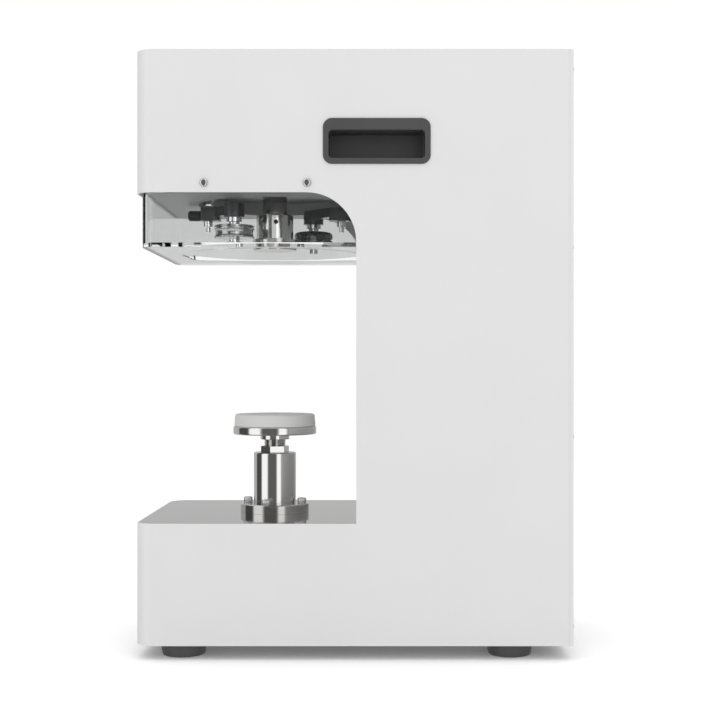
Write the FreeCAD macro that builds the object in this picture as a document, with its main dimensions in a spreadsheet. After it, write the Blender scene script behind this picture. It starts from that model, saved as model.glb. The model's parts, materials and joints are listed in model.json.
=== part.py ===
import FreeCAD, Part
import math
import os
import re
import Sketcher

# Tabletop can seamer with a C-shaped casing, millimetres.
# The front looks towards -X, +Z is up, and the origin is at the middle of the footprint on the ground.
# A turret turns about a fixed centre shaft and chuck. It carries two levers, each with a seaming roll,
# and a cam that turns a little faster than the turret swings one lever after the other in.

doc = FreeCAD.newDocument("can_seamer")
sheet = doc.addObject("Spreadsheet::Sheet", "sizes")

SIZES = {
    # casing
    "casing_length": 460,
    "casing_width": 245,
    "casing_height": 625,
    "base_height": 128,
    "head_height": 150,
    "throat_depth": 232.5,
    "throat_fillet": 52,
    "panel_wall": 2,
    "rear_wall": 4,
    "front_bend": 20,
    "front_flange": 8,
    "seam_gap": 0.2,
    "deck_thickness": 4,
    "pan_thickness": 3,
    "foot_height": 15,
    "foot_radius": 25,
    "foot_draft": 1,
    "foot_side_inset": 35,
    "foot_front_inset": 47,
    "foot_rear_inset": 64,
    # pull handles
    "handle_length": 112.7,
    "handle_height": 48,
    "handle_corner": 9.5,
    "handle_setback": 254,
    "handle_drop": 96.5,
    "handle_rim": 2,
    "mouth_length": 100.8,
    "mouth_height": 29.4,
    "mouth_corner": 4,
    "mouth_drop": 3.25,
    "cup_depth": 30,
    "cup_wall": 2,
    # inner frame
    "plate_thickness": 10,
    "plate_recess": 40,
    "plate_side_gap": 8.5,
    "frame_clearance": 6.5,
    "frame_thickness": 6,
    "bridge_half_length": 40,
    "bracket_half_length": 60,
    "frame_back_gap": 12,
    "frame_front_gap": 14,
    "frame_top_gap": 4,
    # guard
    "guard_drop": 57,
    "guard_rise": 18,
    "guard_wall": 5,
    "guard_inset": 6,
    "guard_corner": 15,
    "guard_opening": 105,
    "guard_rear_gap": 0.5,
    "turret_room": 10,
    "screw_rise": 10,
    "screw_front_setback": 73,
    "screw_rear_setback": 181,
    "button_head_radius": 4.75,
    "button_head_height": 2.75,
    "button_shank_radius": 2.5,
    "button_hole_radius": 2.7,
    # turret
    "chuck_setback": 137,
    "turret_rise": 14,
    "turret_radius": 82,
    "turret_thickness": 12,
    "boss_radius": 8,
    "boss_height": 7,
    "collar_opening": 86,
    "collar_wall": 2,
    "collar_rise": 20,
    "underside_thickness": 2,
    "tab_front_setback": 30,
    "spindle_radius": 23,
    "shaft_radius": 14,
    "shaft_clearance": 0.3,
    "running_gap": 0.05,
    "bearing_width": 12,
    "bearing_radius": 45,
    "housing_wall": 7,
    "housing_flange": 66,
    "housing_height": 34,
    "flange_thickness": 8,
    "sleeve_wall": 6.9,
    "bridge_thickness": 12,
    # chuck
    "chuck_hub_radius": 21,
    "chuck_drop": 10,
    "chuck_hub_height": 28,
    "chuck_lip_radius": 25.5,
    "chuck_lip_height": 12,
    "chuck_lip_draft": 1,
    "chuck_chamfer": 1.5,
    "set_screw_radius": 2.5,
    # levers and rolls
    "pivot_reach": 76,
    "lever_length": 50.25,
    "lever_angle": -47.42,
    "lever_gap": 15.5,
    "lever_thickness": 10.5,
    "lever_block": 15,
    "lever_width": 14,
    "lever_tail": 8,
    "tail_overlap": 6,
    "tail_width": 18,
    "tail_rounding": 3,
    "slit_width": 1.6,
    "eye_radius": 11.5,
    "eye_height": 15,
    "pin_radius": 4,
    "pin_head_radius": 5.2,
    "pin_head_height": 7,
    "pin_tip_radius": 2.8,
    "pin_tip_height": 6,
    "adjuster_radius": 5.9,
    "adjuster_length": 15,
    "adjuster_chamfer": 2,
    "roll_radius": 22.5,
    "roll_height": 22,
    "roll_neck": 5.5,
    "roll_neck_radius": 6.5,
    "roll_groove": 3,
    "journal_radius": 6,
    "roll_nut_radius": 4.8,
    "roll_nut_height": 5,
    "roll_washer": 1.5,
    "washer_width": 3,
    # cam and followers
    "cam_base_radius": 43.2,
    "cam_rise": 3,
    "cam_nose_radius": 14,
    "lobe_turn": 67,
    "cam_thickness": 8,
    "cam_gap": 5,
    "rocker_length": 28.2,
    "rocker_angle": 27.5,
    "rocker_thickness": 4,
    "rocker_half_width": 8,
    "follower_radius": 9,
    "follower_height": 6,
    "follower_pin_radius": 3,
    # drive
    "belt_pitch": 3,
    "turret_teeth": 96,
    "cam_teeth": 93,
    "motor_teeth": 32,
    "pulley_width": 16,
    "pulley_flange": 2,
    "pulley_flange_rise": 3,
    "pulley_gap": 6,
    "belt_thickness": 2.4,
    "belt_gap": 0.3,
    "motor_setback": 340,
    "motor_radius": 45,
    "motor_length": 150,
    "motor_shaft_radius": 7,
    "motor_drop": 66,
    "bracket_thickness": 6,
    # lifter
    "flange_radius": 39,
    "flange_height": 10,
    "guide_radius": 34,
    "guide_depth": 58,
    "column_radius": 24,
    "column_top": 67.5,
    "nut_flats": 28,
    "nut_height": 7,
    "stud_radius": 11.5,
    "stud_depth": 45,
    "stud_visible": 7.5,
    "collar_radius": 16.5,
    "collar_height": 6,
    "platform_radius": 47.2,
    "platform_height": 9,
    "platform_chamfer": 1,
    "pad_radius": 46.2,
    "pad_top_radius": 45.2,
    "pad_height": 14,
    "pad_rounding": 1.5,
    "cap_screw_radius": 5,
    "cap_screw_head": 6,
    "cap_shank_radius": 3,
    "cap_hole_radius": 3.3,
    "cap_circle_radius": 32,
    "cap_screw_turn": -13,
    "rod_radius": 12,
    "rod_length": 42,
    "actuator_radius": 34,
    "actuator_top_gap": 2,
    # controls
    "button_radius": 10,
    "bezel_radius": 15,
    "bezel_height": 2,
    "bezel_depth": 26,
    "button_drop": 75,
    "button_cap_height": 3.5,
    "switch_width": 21,
    "switch_height": 30,
    "inlet_width": 28,
    "inlet_height": 22,
    "socket_rise": 60,
    "socket_gap": 22,
    "socket_depth": 18,
    "socket_wall": 2,
    "lip_thickness": 1.5,
    "lip_margin": 3,
    "contact_spacing": 7,
    "contact_rise": 2,
    "rocker_end_gap": 2.5,
    "rocker_dip": 3,
    "rocker_rise": 2,
    "axle_radius": 1.5,
    "axle_setback": 4,
    "axle_reach": 1.8,
    "vent_length": 70,
    "vent_height": 4,
    "vent_pitch": 11,
    "vent_rise": 330,
}
for row, (word, amount) in enumerate(SIZES.items(), 1):
    sheet.set(f"A{row}", word)
    sheet.set(f"B{row}", str(amount))
    sheet.setAlias(f"B{row}", word)
doc.recompute()

# Levels and places that several pieces share, written in the sheet's terms.
half_length = "(casing_length / 2)"
half_width = "(casing_width / 2)"
inner_half_width = f"({half_width} - panel_wall)"
fitted_half_width = f"({inner_half_width} - seam_gap)"
plate_half_width = f"({half_width} - plate_side_gap)"
frame_outside = f"({half_width} - cup_depth - cup_wall - frame_clearance)"
frame_inside = f"({frame_outside} - frame_thickness)"
rear_x = f"({half_length} - rear_wall)"
inner_front_x = f"(panel_wall - {half_length})"
column_x = f"(throat_depth - {half_length})"
axis_x = f"(chuck_setback - {half_length})"
deck_z = "(foot_height + base_height)"
head_z = "(foot_height + casing_height - head_height)"
top_z = "(foot_height + casing_height)"
plate_z = f"({head_z} + plate_recess)"
plate_top_z = f"({plate_z} + plate_thickness)"
turret_z = f"({head_z} + turret_rise)"
turret_top_z = f"({turret_z} + turret_thickness)"
lever_top_z = f"({turret_z} - lever_gap)"
roll_top_z = f"({lever_top_z} - eye_height - roll_neck)"
roll_low_z = f"({roll_top_z} - roll_height)"
cam_z = f"({turret_top_z} + cam_gap)"
housing_top_z = f"({plate_z} + housing_height)"
cam_pulley_z = f"({housing_top_z} + 2)"
turret_pulley_z = f"({cam_pulley_z} + pulley_width + pulley_gap)"
bridge_z = f"({turret_pulley_z} + pulley_width + 6)"
frame_low_z = "(foot_height + pan_thickness)"
frame_high_z = f"({top_z} - panel_wall - frame_top_gap)"
motor_x = f"(motor_setback - {half_length})"
roll_x = "(lever_length * cos(lever_angle) - pivot_reach)"
roll_y = "(lever_length * sin(lever_angle))"
follower_x = "(rocker_length * cos(rocker_angle) - pivot_reach)"
follower_y = "(rocker_length * sin(rocker_angle))"
column_top_z = f"({deck_z} + column_top)"
stud_top_z = f"({column_top_z} + nut_height + stud_visible)"
platform_z = f"({stud_top_z} + collar_height)"
pad_z = f"({platform_z} + platform_height)"

FUNCTIONS = ("cos", "sin", "pi")
nodes = []


def terms(text):
    """The same expression, with each size taken from the sheet."""
    def named(match):
        word = match.group(0)
        return word if word in FUNCTIONS else "sizes." + word
    return re.sub(r"[a-z][a-z_]+", named, text)


def number(text):
    """What an expression in the sheet's terms comes to."""
    return float(sheet.evalExpression(text))


def bind(thing, **properties):
    for name, text in properties.items():
        thing.setExpression(name, terms(text))


def place(thing, x="0", y="0", z="0", turn=0.0, about=(0, 0, 1)):
    """Set a thing's turn, and bind its place to the sheet."""
    rotation = FreeCAD.Rotation(FreeCAD.Vector(*about), turn)
    thing.Placement = FreeCAD.Placement(FreeCAD.Vector(), rotation)
    for letter, text in (("x", x), ("y", y), ("z", z)):
        thing.setExpression(f"Placement.Base.{letter}", terms(text))
    return thing


def node(thing, label):
    """Keep a thing as a finished piece under its own name."""
    thing.Label = label
    nodes.append(thing)
    return thing


# Sketches -------------------------------------------------------------------------------------

def pin(sketch, geometry, point, x, y):
    """Hold a point of a sketch at (x, y)."""
    for kind, axis, text in (("DistanceX", -2, x), ("DistanceY", -1, y)):
        away = number(text)
        if abs(away) < 1e-6:
            sketch.addConstraint(Sketcher.Constraint("PointOnObject", geometry, point, axis))
        elif away > 0:
            index = sketch.addConstraint(Sketcher.Constraint(kind, -1, 1, geometry, point, away))
            sketch.setExpression(f"Constraints[{index}]", terms(text))
        else:
            index = sketch.addConstraint(Sketcher.Constraint(kind, geometry, point, -1, 1, -away))
            sketch.setExpression(f"Constraints[{index}]", terms(f"-({text})"))


def moved(corner, here, towards):
    """The end of a round corner on the side that faces another corner."""
    x, y, radius = corner
    along_x = towards[0] - here[0]
    along_y = towards[1] - here[1]
    if abs(along_x) > abs(along_y):
        return (f"{x} + {radius}" if along_x > 0 else f"{x} - {radius}", y)
    return (x, f"{y} + {radius}" if along_y > 0 else f"{y} - {radius}")


def draw_outline(sketch, corners):
    """Closed outline through corners (x, y) or (x, y, radius). A round corner joins two lines that
    run along the sketch's axes."""
    spots = [(number(corner[0]), number(corner[1])) for corner in corners]
    count = len(corners)
    arrive = []
    leave = []
    for index, corner in enumerate(corners):
        if len(corner) == 2:
            arrive.append(corner)
            leave.append(corner)
        else:
            arrive.append(moved(corner, spots[index], spots[index - 1]))
            leave.append(moved(corner, spots[index], spots[(index + 1) % count]))
    lines = []
    for index in range(count):
        start = FreeCAD.Vector(*[number(text) for text in leave[index]])
        end = FreeCAD.Vector(*[number(text) for text in arrive[(index + 1) % count]])
        lines.append(sketch.addGeometry(Part.LineSegment(start, end)))
    for index, line in enumerate(lines):
        following = (index + 1) % count
        pin(sketch, line, 1, *leave[index])
        if len(corners[following]) == 2:
            sketch.addConstraint(Sketcher.Constraint("Coincident", line, 2, lines[following], 1))
        else:
            pin(sketch, line, 2, *arrive[following])
    for index, corner in enumerate(corners):
        if len(corner) == 3:
            first = [number(text) for text in arrive[index]]
            last = [number(text) for text in leave[index]]
            here = spots[index]
            middle = (first[0] + last[0] - here[0], first[1] + last[1] - here[1])
            turn = (here[0] - first[0]) * (last[1] - here[1]) - (here[1] - first[1]) * (last[0] - here[0])
            ends = (first, last) if turn > 0 else (last, first)
            angles = [math.atan2(end[1] - middle[1], end[0] - middle[0]) for end in ends]
            circle = Part.Circle(FreeCAD.Vector(*middle), FreeCAD.Vector(0, 0, 1), number(corner[2]))
            arc = sketch.addGeometry(Part.ArcOfCircle(circle, *angles))
            first_end, last_end = (1, 2) if turn > 0 else (2, 1)
            sketch.addConstraint(Sketcher.Constraint("Coincident", arc, first_end, lines[index - 1], 2))
            sketch.addConstraint(Sketcher.Constraint("Coincident", arc, last_end, lines[index], 1))
            limit = sketch.addConstraint(Sketcher.Constraint("Radius", arc, number(corner[2])))
            sketch.setExpression(f"Constraints[{limit}]", terms(corner[2]))


def draw_circle(sketch, x, y, radius):
    middle = FreeCAD.Vector(number(x), number(y))
    circle = sketch.addGeometry(Part.Circle(middle, FreeCAD.Vector(0, 0, 1), number(radius)))
    pin(sketch, circle, 3, x, y)
    index = sketch.addConstraint(Sketcher.Constraint("Radius", circle, number(radius)))
    sketch.setExpression(f"Constraints[{index}]", terms(radius))


def sketch_on(body, role, corners=(), circles=()):
    sketch = body.newObject("Sketcher::SketchObject", body.Name + "_sketch")
    plane = [item for item in body.Origin.OriginFeatures if item.Role == role][0]
    sketch.AttachmentSupport = [(plane, "")]
    sketch.MapMode = "FlatFace"
    if corners:
        draw_outline(sketch, corners)
    for circle in circles:
        draw_circle(sketch, *circle)
    return sketch


# Ways of making a piece -----------------------------------------------------------------------

def plate(name, role, corners, low, high, circles=()):
    """A flat plate from low to high along the axis that its sketch plane faces."""
    body = doc.addObject("PartDesign::Body", name)
    sketch = sketch_on(body, role, corners, circles)
    pad = body.newObject("PartDesign::Pad", name + "_pad")
    pad.Profile = sketch
    bind(pad, Length=f"({high}) - ({low})")
    if role == "XY_Plane":
        place(body, z=low)
    elif role == "YZ_Plane":
        place(body, x=low)
    else:
        place(body, y=high)
    return body


def turned(name, profile, x="0", y="0", z="0"):
    """A turned piece about an upright axis, from its outline as (radius, height)."""
    body = doc.addObject("PartDesign::Body", name)
    sketch = sketch_on(body, "XZ_Plane", profile)
    revolution = body.newObject("PartDesign::Revolution", name + "_turning")
    revolution.Profile = sketch
    revolution.ReferenceAxis = (sketch, ["V_Axis"])
    revolution.Angle = 360
    return place(body, x, y, z)


def rod(name, radius, length, x="0", y="0", z="0", along="Z"):
    """A plain cylinder from (x, y, z) along an axis."""
    cylinder = doc.addObject("Part::Cylinder", name)
    bind(cylinder, Radius=radius, Height=length)
    if along == "X":
        return place(cylinder, x, y, z, 90, (0, 1, 0))
    if along == "Y":
        return place(cylinder, x, y, z, -90, (1, 0, 0))
    return place(cylinder, x, y, z)


def block(name, x, y, z):
    """A plain block, each span given as (low, high)."""
    box = doc.addObject("Part::Box", name)
    bind(box, Length=f"({x[1]}) - ({x[0]})", Width=f"({y[1]}) - ({y[0]})", Height=f"({z[1]}) - ({z[0]})")
    return place(box, x[0], y[0], z[0])


def fuse(name, things):
    joined = doc.addObject("Part::MultiFuse", name)
    joined.Shapes = things
    return joined


def cut(name, base, tools):
    result = doc.addObject("Part::Cut", name)
    result.Base = base
    result.Tool = tools[0] if len(tools) == 1 else fuse(name + "_tools", tools)
    return result


def group(name, things):
    """Like pieces kept together as separate solids."""
    together = doc.addObject("Part::Compound", name)
    together.Links = things
    return together


def span(low, high, half):
    """Corners of a rectangle from low to high along, and half to each side."""
    return [(low, f"-{half}"), (high, f"-{half}"), (high, half), (low, half)]


def front_rounded(low, high, half, radius):
    """A rectangle in plan whose two front corners are round."""
    return [(low, f"-{half}", radius), (high, f"-{half}"), (high, half), (low, half, radius)]


def rounded(middle_x, middle_y, length, height, radius):
    """A rectangle with four round corners about its middle."""
    left = f"{middle_x} - {length} / 2"
    right = f"{middle_x} + {length} / 2"
    low = f"{middle_y} - {height} / 2"
    high = f"{middle_y} + {height} / 2"
    return [(left, low, radius), (right, low, radius), (right, high, radius), (left, high, radius)]


# Casing ---------------------------------------------------------------------------------------

handle_x = f"(handle_setback - {half_length})"
handle_z = f"({top_z} - handle_drop)"
mouth_z = f"({handle_z} - mouth_drop)"
screw_z = f"({head_z} + screw_rise)"
screw_places = [f"(screw_front_setback - {half_length})", f"(screw_rear_setback - {half_length})"]
SIDES = (("right", -1), ("left", 1))


def folded_side(name, side):
    """C-shaped side sheet whose front edges are rolled round onto the machine's front."""
    outer = f"{side} * {half_width}"
    inner = f"{side} * {inner_half_width}"
    flange = f"{side} * ({half_width} - front_bend - front_flange)"
    front = f"-{half_length}"
    fold = [(rear_x, outer), (front, outer, "front_bend"), (front, flange), (inner_front_x, flange),
            (inner_front_x, inner, "(front_bend - panel_wall)"), (rear_x, inner)]
    sheet_body = plate(name + "_fold", "XY_Plane", fold, "foot_height", top_z)
    throat = [(f"-{half_length} - front_bend", deck_z), (column_x, deck_z),
              (column_x, head_z, "throat_fillet"), (f"-{half_length} - front_bend", head_z)]
    beyond = f"({half_width} + front_bend)"
    throat_tool = plate(name + "_throat", "XZ_Plane", throat, f"-{beyond}", beyond)
    handle_tool = plate(
        name + "_handle_hole", "XZ_Plane",
        rounded(handle_x, mouth_z, "(mouth_length + 2 * cup_wall + 2 * seam_gap)",
                "(mouth_height + 2 * cup_wall + 2 * seam_gap)", "(mouth_corner + cup_wall + seam_gap)"),
        f"-{beyond}", beyond)
    holes = []
    for index, x in enumerate(screw_places):
        start = f"-{beyond}" if side < 0 else "0"
        holes.append(rod(f"{name}_screw_hole_{index}", "button_hole_radius", beyond, x, start, screw_z, "Y"))
    return cut(name, sheet_body, [throat_tool, handle_tool] + holes)


for side_name, side in SIDES:
    node(folded_side("side_panel_" + side_name, side), "side_panel_" + side_name)

front_half = f"({half_width} - front_bend - front_flange)"
button_z = f"({top_z} - button_drop)"
button_hole = "(bezel_radius - 3)"
node(plate("front_panel_head", "YZ_Plane", [
    (f"-{front_half}", head_z), (front_half, head_z), (front_half, top_z), (f"-{front_half}", top_z)],
    f"-{half_length}", inner_front_x,
    [("0", button_z, button_hole)]), "front_panel_head")
node(plate("front_panel_base", "YZ_Plane", [
    (f"-{front_half}", "foot_height"), (front_half, "foot_height"), (front_half, deck_z),
    (f"-{front_half}", deck_z)], f"-{half_length}", inner_front_x), "front_panel_base")

lid_front = f"({inner_front_x} + seam_gap)"
lid_corner = "(front_bend - panel_wall - seam_gap)"
node(plate("top_panel", "XY_Plane", front_rounded(lid_front, rear_x, fitted_half_width, lid_corner),
           f"{top_z} - panel_wall", top_z), "top_panel")
node(plate("base_pan", "XY_Plane", front_rounded(lid_front, rear_x, fitted_half_width, lid_corner),
           "foot_height", frame_low_z), "base_pan")
deck_rear = f"({column_x} + 2 * panel_wall)"
node(plate("deck_plate", "XY_Plane", front_rounded(lid_front, deck_rear, fitted_half_width, lid_corner),
           f"{deck_z} - deck_thickness", deck_z,
           [(axis_x, "0", "guide_radius + seam_gap")]), "deck_plate")

# Front of the column, folded back above the guard's level to leave room for the turning levers.
ledge_z = f"({head_z} - guard_drop)"
room_x = f"({column_x} + turret_room)"
node(plate("column_front_panel", "XZ_Plane", [
    (column_x, deck_z), (f"{column_x} + panel_wall", deck_z),
    (f"{column_x} + panel_wall", f"{ledge_z} - panel_wall"),
    (f"{room_x} + panel_wall", f"{ledge_z} - panel_wall"),
    (f"{room_x} + panel_wall", f"{head_z} + guard_rise"), (room_x, f"{head_z} + guard_rise"),
    (room_x, ledge_z), (column_x, ledge_z)],
    f"0 - {fitted_half_width}", fitted_half_width), "column_front_panel")

# Rear panel with cut-outs for the power switch and inlet, and ventilation slots.
rear = plate("rear_sheet", "YZ_Plane", [
    (f"-{half_width}", "foot_height"), (half_width, "foot_height"), (half_width, top_z),
    (f"-{half_width}", top_z)], rear_x, half_length)
socket_z = "(foot_height + socket_rise)"
switch_y = "(socket_gap)"
inlet_y = "(0 - socket_gap)"
rear_cuts = [
    block("switch_hole", (f"{rear_x} - 1", f"{half_length} + 1"),
          (f"{switch_y} - switch_width / 2", f"{switch_y} + switch_width / 2"),
          (f"{socket_z} - switch_height / 2", f"{socket_z} + switch_height / 2")),
    block("inlet_hole", (f"{rear_x} - 1", f"{half_length} + 1"),
          (f"{inlet_y} - inlet_width / 2", f"{inlet_y} + inlet_width / 2"),
          (f"{socket_z} - inlet_height / 2", f"{socket_z} + inlet_height / 2")),
]
for row in range(6):
    slot_z = f"(foot_height + vent_rise + {row} * vent_pitch)"
    rear_cuts.append(block(f"vent_{row}", (f"{rear_x} - 1", f"{half_length} + 1"),
                           ("-vent_length / 2", "vent_length / 2"), (slot_z, f"{slot_z} + vent_height")))
node(cut("rear_panel", rear, rear_cuts), "rear_panel")

# Rubber feet, a little narrower at the ground.
feet = []
foot_spots = [(f"foot_front_inset - {half_length}", -1), (f"foot_front_inset - {half_length}", 1),
              (f"{half_length} - foot_rear_inset", -1), (f"{half_length} - foot_rear_inset", 1)]
for index, (x, side) in enumerate(foot_spots):
    feet.append(turned(f"foot_{index}", [
        ("0", "0"), ("foot_radius - foot_draft", "0"), ("foot_radius", "foot_height"), ("0", "foot_height")],
        x, f"{side} * ({half_width} - foot_side_inset)"))
node(group("feet", feet), "feet")


def pull_handle(name, side):
    """Moulded cup that is let into the side panel, with a wide rim on the outside."""
    wall = f"({side} * {half_width})"
    rim = (wall, f"{wall} + handle_rim") if side > 0 else (f"{wall} - handle_rim", wall)
    cup = (f"{wall} - cup_depth - cup_wall", wall) if side > 0 else (wall, f"{wall} + cup_depth + cup_wall")
    hollow = (f"{wall} - cup_depth", f"{wall} + 5") if side > 0 else (f"{wall} - 5", f"{wall} + cup_depth")
    rim_part = plate(name + "_rim", "XZ_Plane",
                     rounded(handle_x, handle_z, "handle_length", "handle_height", "handle_corner"), *rim)
    cup_part = plate(name + "_cup", "XZ_Plane",
                     rounded(handle_x, mouth_z, "(mouth_length + 2 * cup_wall)",
                             "(mouth_height + 2 * cup_wall)", "(mouth_corner + cup_wall)"), *cup)
    mouth = plate(name + "_mouth", "XZ_Plane",
                  rounded(handle_x, mouth_z, "mouth_length", "mouth_height", "mouth_corner"), *hollow)
    return cut(name, fuse(name + "_solid", [rim_part, cup_part]), [mouth])


for side_name, side in SIDES:
    node(pull_handle("handle_" + side_name, side), "handle_" + side_name)

# Inner frame ----------------------------------------------------------------------------------

for side_name, side in SIDES:
    inner = f"{side} * {frame_inside}"
    outer = f"{side} * {frame_outside}"
    low_y, high_y = (outer, inner) if side < 0 else (inner, outer)
    front = f"(frame_front_gap - {half_length})"
    back = f"({rear_x} - frame_back_gap)"
    inside = f"({column_x} + panel_wall + frame_back_gap)"
    frame_outline = [(front, frame_low_z), (back, frame_low_z), (back, frame_high_z),
                     (front, frame_high_z), (front, plate_top_z), (inside, plate_top_z),
                     (inside, f"{deck_z} - deck_thickness"), (front, f"{deck_z} - deck_thickness")]
    node(plate("frame_plate_" + side_name, "XZ_Plane", frame_outline, low_y, high_y),
         "frame_plate_" + side_name)

plate_front = f"(frame_front_gap - {half_length})"
plate_rear = f"({column_x} + panel_wall + frame_back_gap)"
waist_x = f"({handle_x} - mouth_length / 2 - cup_wall - 2)"
waist_half = f"({frame_outside} + 1)"
node(plate("head_plate", "XY_Plane", [
    (plate_front, f"0 - {plate_half_width}"), (waist_x, f"0 - {plate_half_width}"),
    (waist_x, f"0 - {waist_half}"), (plate_rear, f"0 - {waist_half}"), (plate_rear, waist_half),
    (waist_x, waist_half), (waist_x, plate_half_width), (plate_front, plate_half_width)],
    plate_z, plate_top_z, [(axis_x, "0", "(bearing_radius + housing_wall + seam_gap)")]), "head_plate")
# Sheet that closes the head's underside, with a round collar that shrouds the turret.
tab_x = f"(tab_front_setback - {half_length})"
narrow_half = f"({fitted_half_width} - guard_wall - seam_gap)"
underside_sheet = plate("underside_sheet", "XY_Plane", [
    (lid_front, f"0 - {fitted_half_width}", lid_corner), (f"{tab_x} - seam_gap", f"0 - {fitted_half_width}"),
    (f"{tab_x} - seam_gap", f"0 - {narrow_half}"), (f"{room_x} - seam_gap", f"0 - {narrow_half}"),
    (f"{room_x} - seam_gap", narrow_half), (f"{tab_x} - seam_gap", narrow_half),
    (f"{tab_x} - seam_gap", fitted_half_width), (lid_front, fitted_half_width, lid_corner)],
    head_z, f"{head_z} + underside_thickness")
collar_ring = rod("collar_ring", "collar_opening + collar_wall", "underside_thickness + collar_rise", axis_x,
                  "0", head_z)
collar_bore = rod("collar_bore", "collar_opening", "2 * collar_rise", axis_x, "0",
                  f"{head_z} - collar_rise / 2")
node(cut("head_underside", fuse("underside_solid", [underside_sheet, collar_ring]), [collar_bore]),
     "head_underside")
node(plate("shaft_bridge", "XY_Plane",
           span(f"{axis_x} - bridge_half_length", f"{axis_x} + bridge_half_length", frame_inside), bridge_z,
           f"{bridge_z} + bridge_thickness", [(axis_x, "0", "(shaft_radius + running_gap)")]), "shaft_bridge")
motor_z = f"({cam_pulley_z} - motor_drop)"
node(plate("motor_bracket", "XY_Plane",
           span(f"{motor_x} - bracket_half_length", f"{motor_x} + bracket_half_length", frame_inside), motor_z,
           f"{motor_z} + bracket_thickness", [(motor_x, "0", "motor_shaft_radius + 8")]), "motor_bracket")

# Guard ----------------------------------------------------------------------------------------

guard_low = f"({head_z} - guard_drop)"
guard_high = f"({head_z} + guard_rise)"
guard_front = f"(guard_inset - {half_length})"
guard_rear = f"({column_x} - guard_rear_gap)"
guard_outside = plate("guard_outside", "XY_Plane",
                      front_rounded(guard_front, guard_rear, fitted_half_width, "guard_corner"),
                      guard_low, head_z)
guard_inside = plate("guard_inside", "XY_Plane",
                     front_rounded(f"{guard_front} + guard_wall", f"{guard_rear} + guard_wall",
                                   f"({fitted_half_width} - guard_wall)", "(guard_corner - guard_wall)"),
                     f"{guard_low} + guard_wall", f"{head_z} + 1")
guard_tabs = []
for side_name, side in SIDES:
    outer = f"{side} * {fitted_half_width}"
    inner = f"{side} * ({fitted_half_width} - guard_wall)"
    low_y, high_y = (outer, inner) if side < 0 else (inner, outer)
    guard_tabs.append(block(f"guard_tab_{side_name}", (tab_x, guard_rear), (low_y, high_y),
                            (f"{head_z} - guard_wall", guard_high)))
guard_cuts = [guard_inside, rod("guard_opening_tool", "guard_opening", "3 * guard_wall", axis_x, "0",
                                f"{guard_low} - guard_wall")]
for index, x in enumerate(screw_places):
    guard_cuts.append(rod(f"guard_hole_{index}", "button_hole_radius", f"2 * {half_width}", x,
                          f"-{half_width}", screw_z, "Y"))
node(cut("guard", fuse("guard_solid", [guard_outside] + guard_tabs), guard_cuts), "guard")

screws = []
for index, x in enumerate(screw_places):
    for side_name, side in SIDES:
        head = turned(f"guard_screw_{side_name}_{index}", [
            ("0", "0 - panel_wall - guard_wall"), ("button_shank_radius", "0 - panel_wall - guard_wall"),
            ("button_shank_radius", "0"), ("button_head_radius", "0"),
            ("button_head_radius", "button_head_height * 0.4"),
            ("button_head_radius * 0.62", "button_head_height"), ("0", "button_head_height")])
        screws.append(place(head, x, f"{side} * {half_width}", screw_z, -90 * side, (1, 0, 0)))
node(group("guard_screws", screws), "guard_screws")

# Fixed centre shaft, chuck, spindle housing and bearings ----------------------------------------

chuck_top_z = f"({head_z} - chuck_drop)"
chuck_low_z = f"({chuck_top_z} - chuck_hub_height - chuck_lip_height)"
node(turned("centre_shaft", [
    ("0", f"{chuck_top_z} - chuck_hub_height"), ("shaft_radius", f"{chuck_top_z} - chuck_hub_height"),
    ("shaft_radius", f"{bridge_z} + bridge_thickness"), ("0", f"{bridge_z} + bridge_thickness")],
    axis_x), "centre_shaft")
hub_low_z = f"({chuck_low_z} + chuck_lip_height)"
chuck_body = turned("chuck_body", [
    ("0", chuck_low_z), ("chuck_lip_radius - chuck_lip_draft", chuck_low_z),
    ("chuck_lip_radius", hub_low_z), ("chuck_hub_radius", hub_low_z),
    ("chuck_hub_radius", f"{chuck_top_z} - chuck_chamfer"),
    ("chuck_hub_radius - chuck_chamfer", chuck_top_z), ("0", chuck_top_z)], axis_x)
screw_height = f"({chuck_top_z} - chuck_hub_height / 3)"
chuck_tools = [
    rod("chuck_bore", "shaft_radius + running_gap", "chuck_hub_height + 1", axis_x, "0",
        f"{chuck_top_z} - chuck_hub_height"),
    rod("chuck_screw_hole", "set_screw_radius + running_gap", "chuck_hub_radius + 1 - shaft_radius",
        f"{axis_x} + 3", "0 - chuck_hub_radius - 1", screw_height, "Y")]
node(cut("seaming_chuck", chuck_body, chuck_tools), "seaming_chuck")
node(rod("chuck_set_screw", "set_screw_radius", "chuck_hub_radius - shaft_radius - 1", f"{axis_x} + 3",
         "0.5 - chuck_hub_radius", screw_height, "Y"), "chuck_set_screw")

housing_radius = "(bearing_radius + housing_wall)"
node(turned("spindle_housing", [
    ("bearing_radius", plate_z), (housing_radius, plate_z), (housing_radius, plate_top_z),
    ("housing_flange", plate_top_z), ("housing_flange", f"{plate_top_z} + flange_thickness"),
    (housing_radius, f"{plate_top_z} + flange_thickness"), (housing_radius, housing_top_z),
    ("bearing_radius", housing_top_z)], axis_x), "spindle_housing")
sleeve_radius = "(spindle_radius + running_gap + sleeve_wall)"
bearings = []
for index, z in enumerate([f"{plate_z} + 1", f"{housing_top_z} - 1 - bearing_width"]):
    ring = turned(f"bearing_{index}", [
        (f"{sleeve_radius} + running_gap", "0"), ("bearing_radius", "0"), ("bearing_radius", "bearing_width"),
        (f"{sleeve_radius} + running_gap", "bearing_width")], axis_x, "0", z)
    bearings.append(ring)
node(group("spindle_bearings", bearings), "spindle_bearings")

# Turret ---------------------------------------------------------------------------------------

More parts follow.
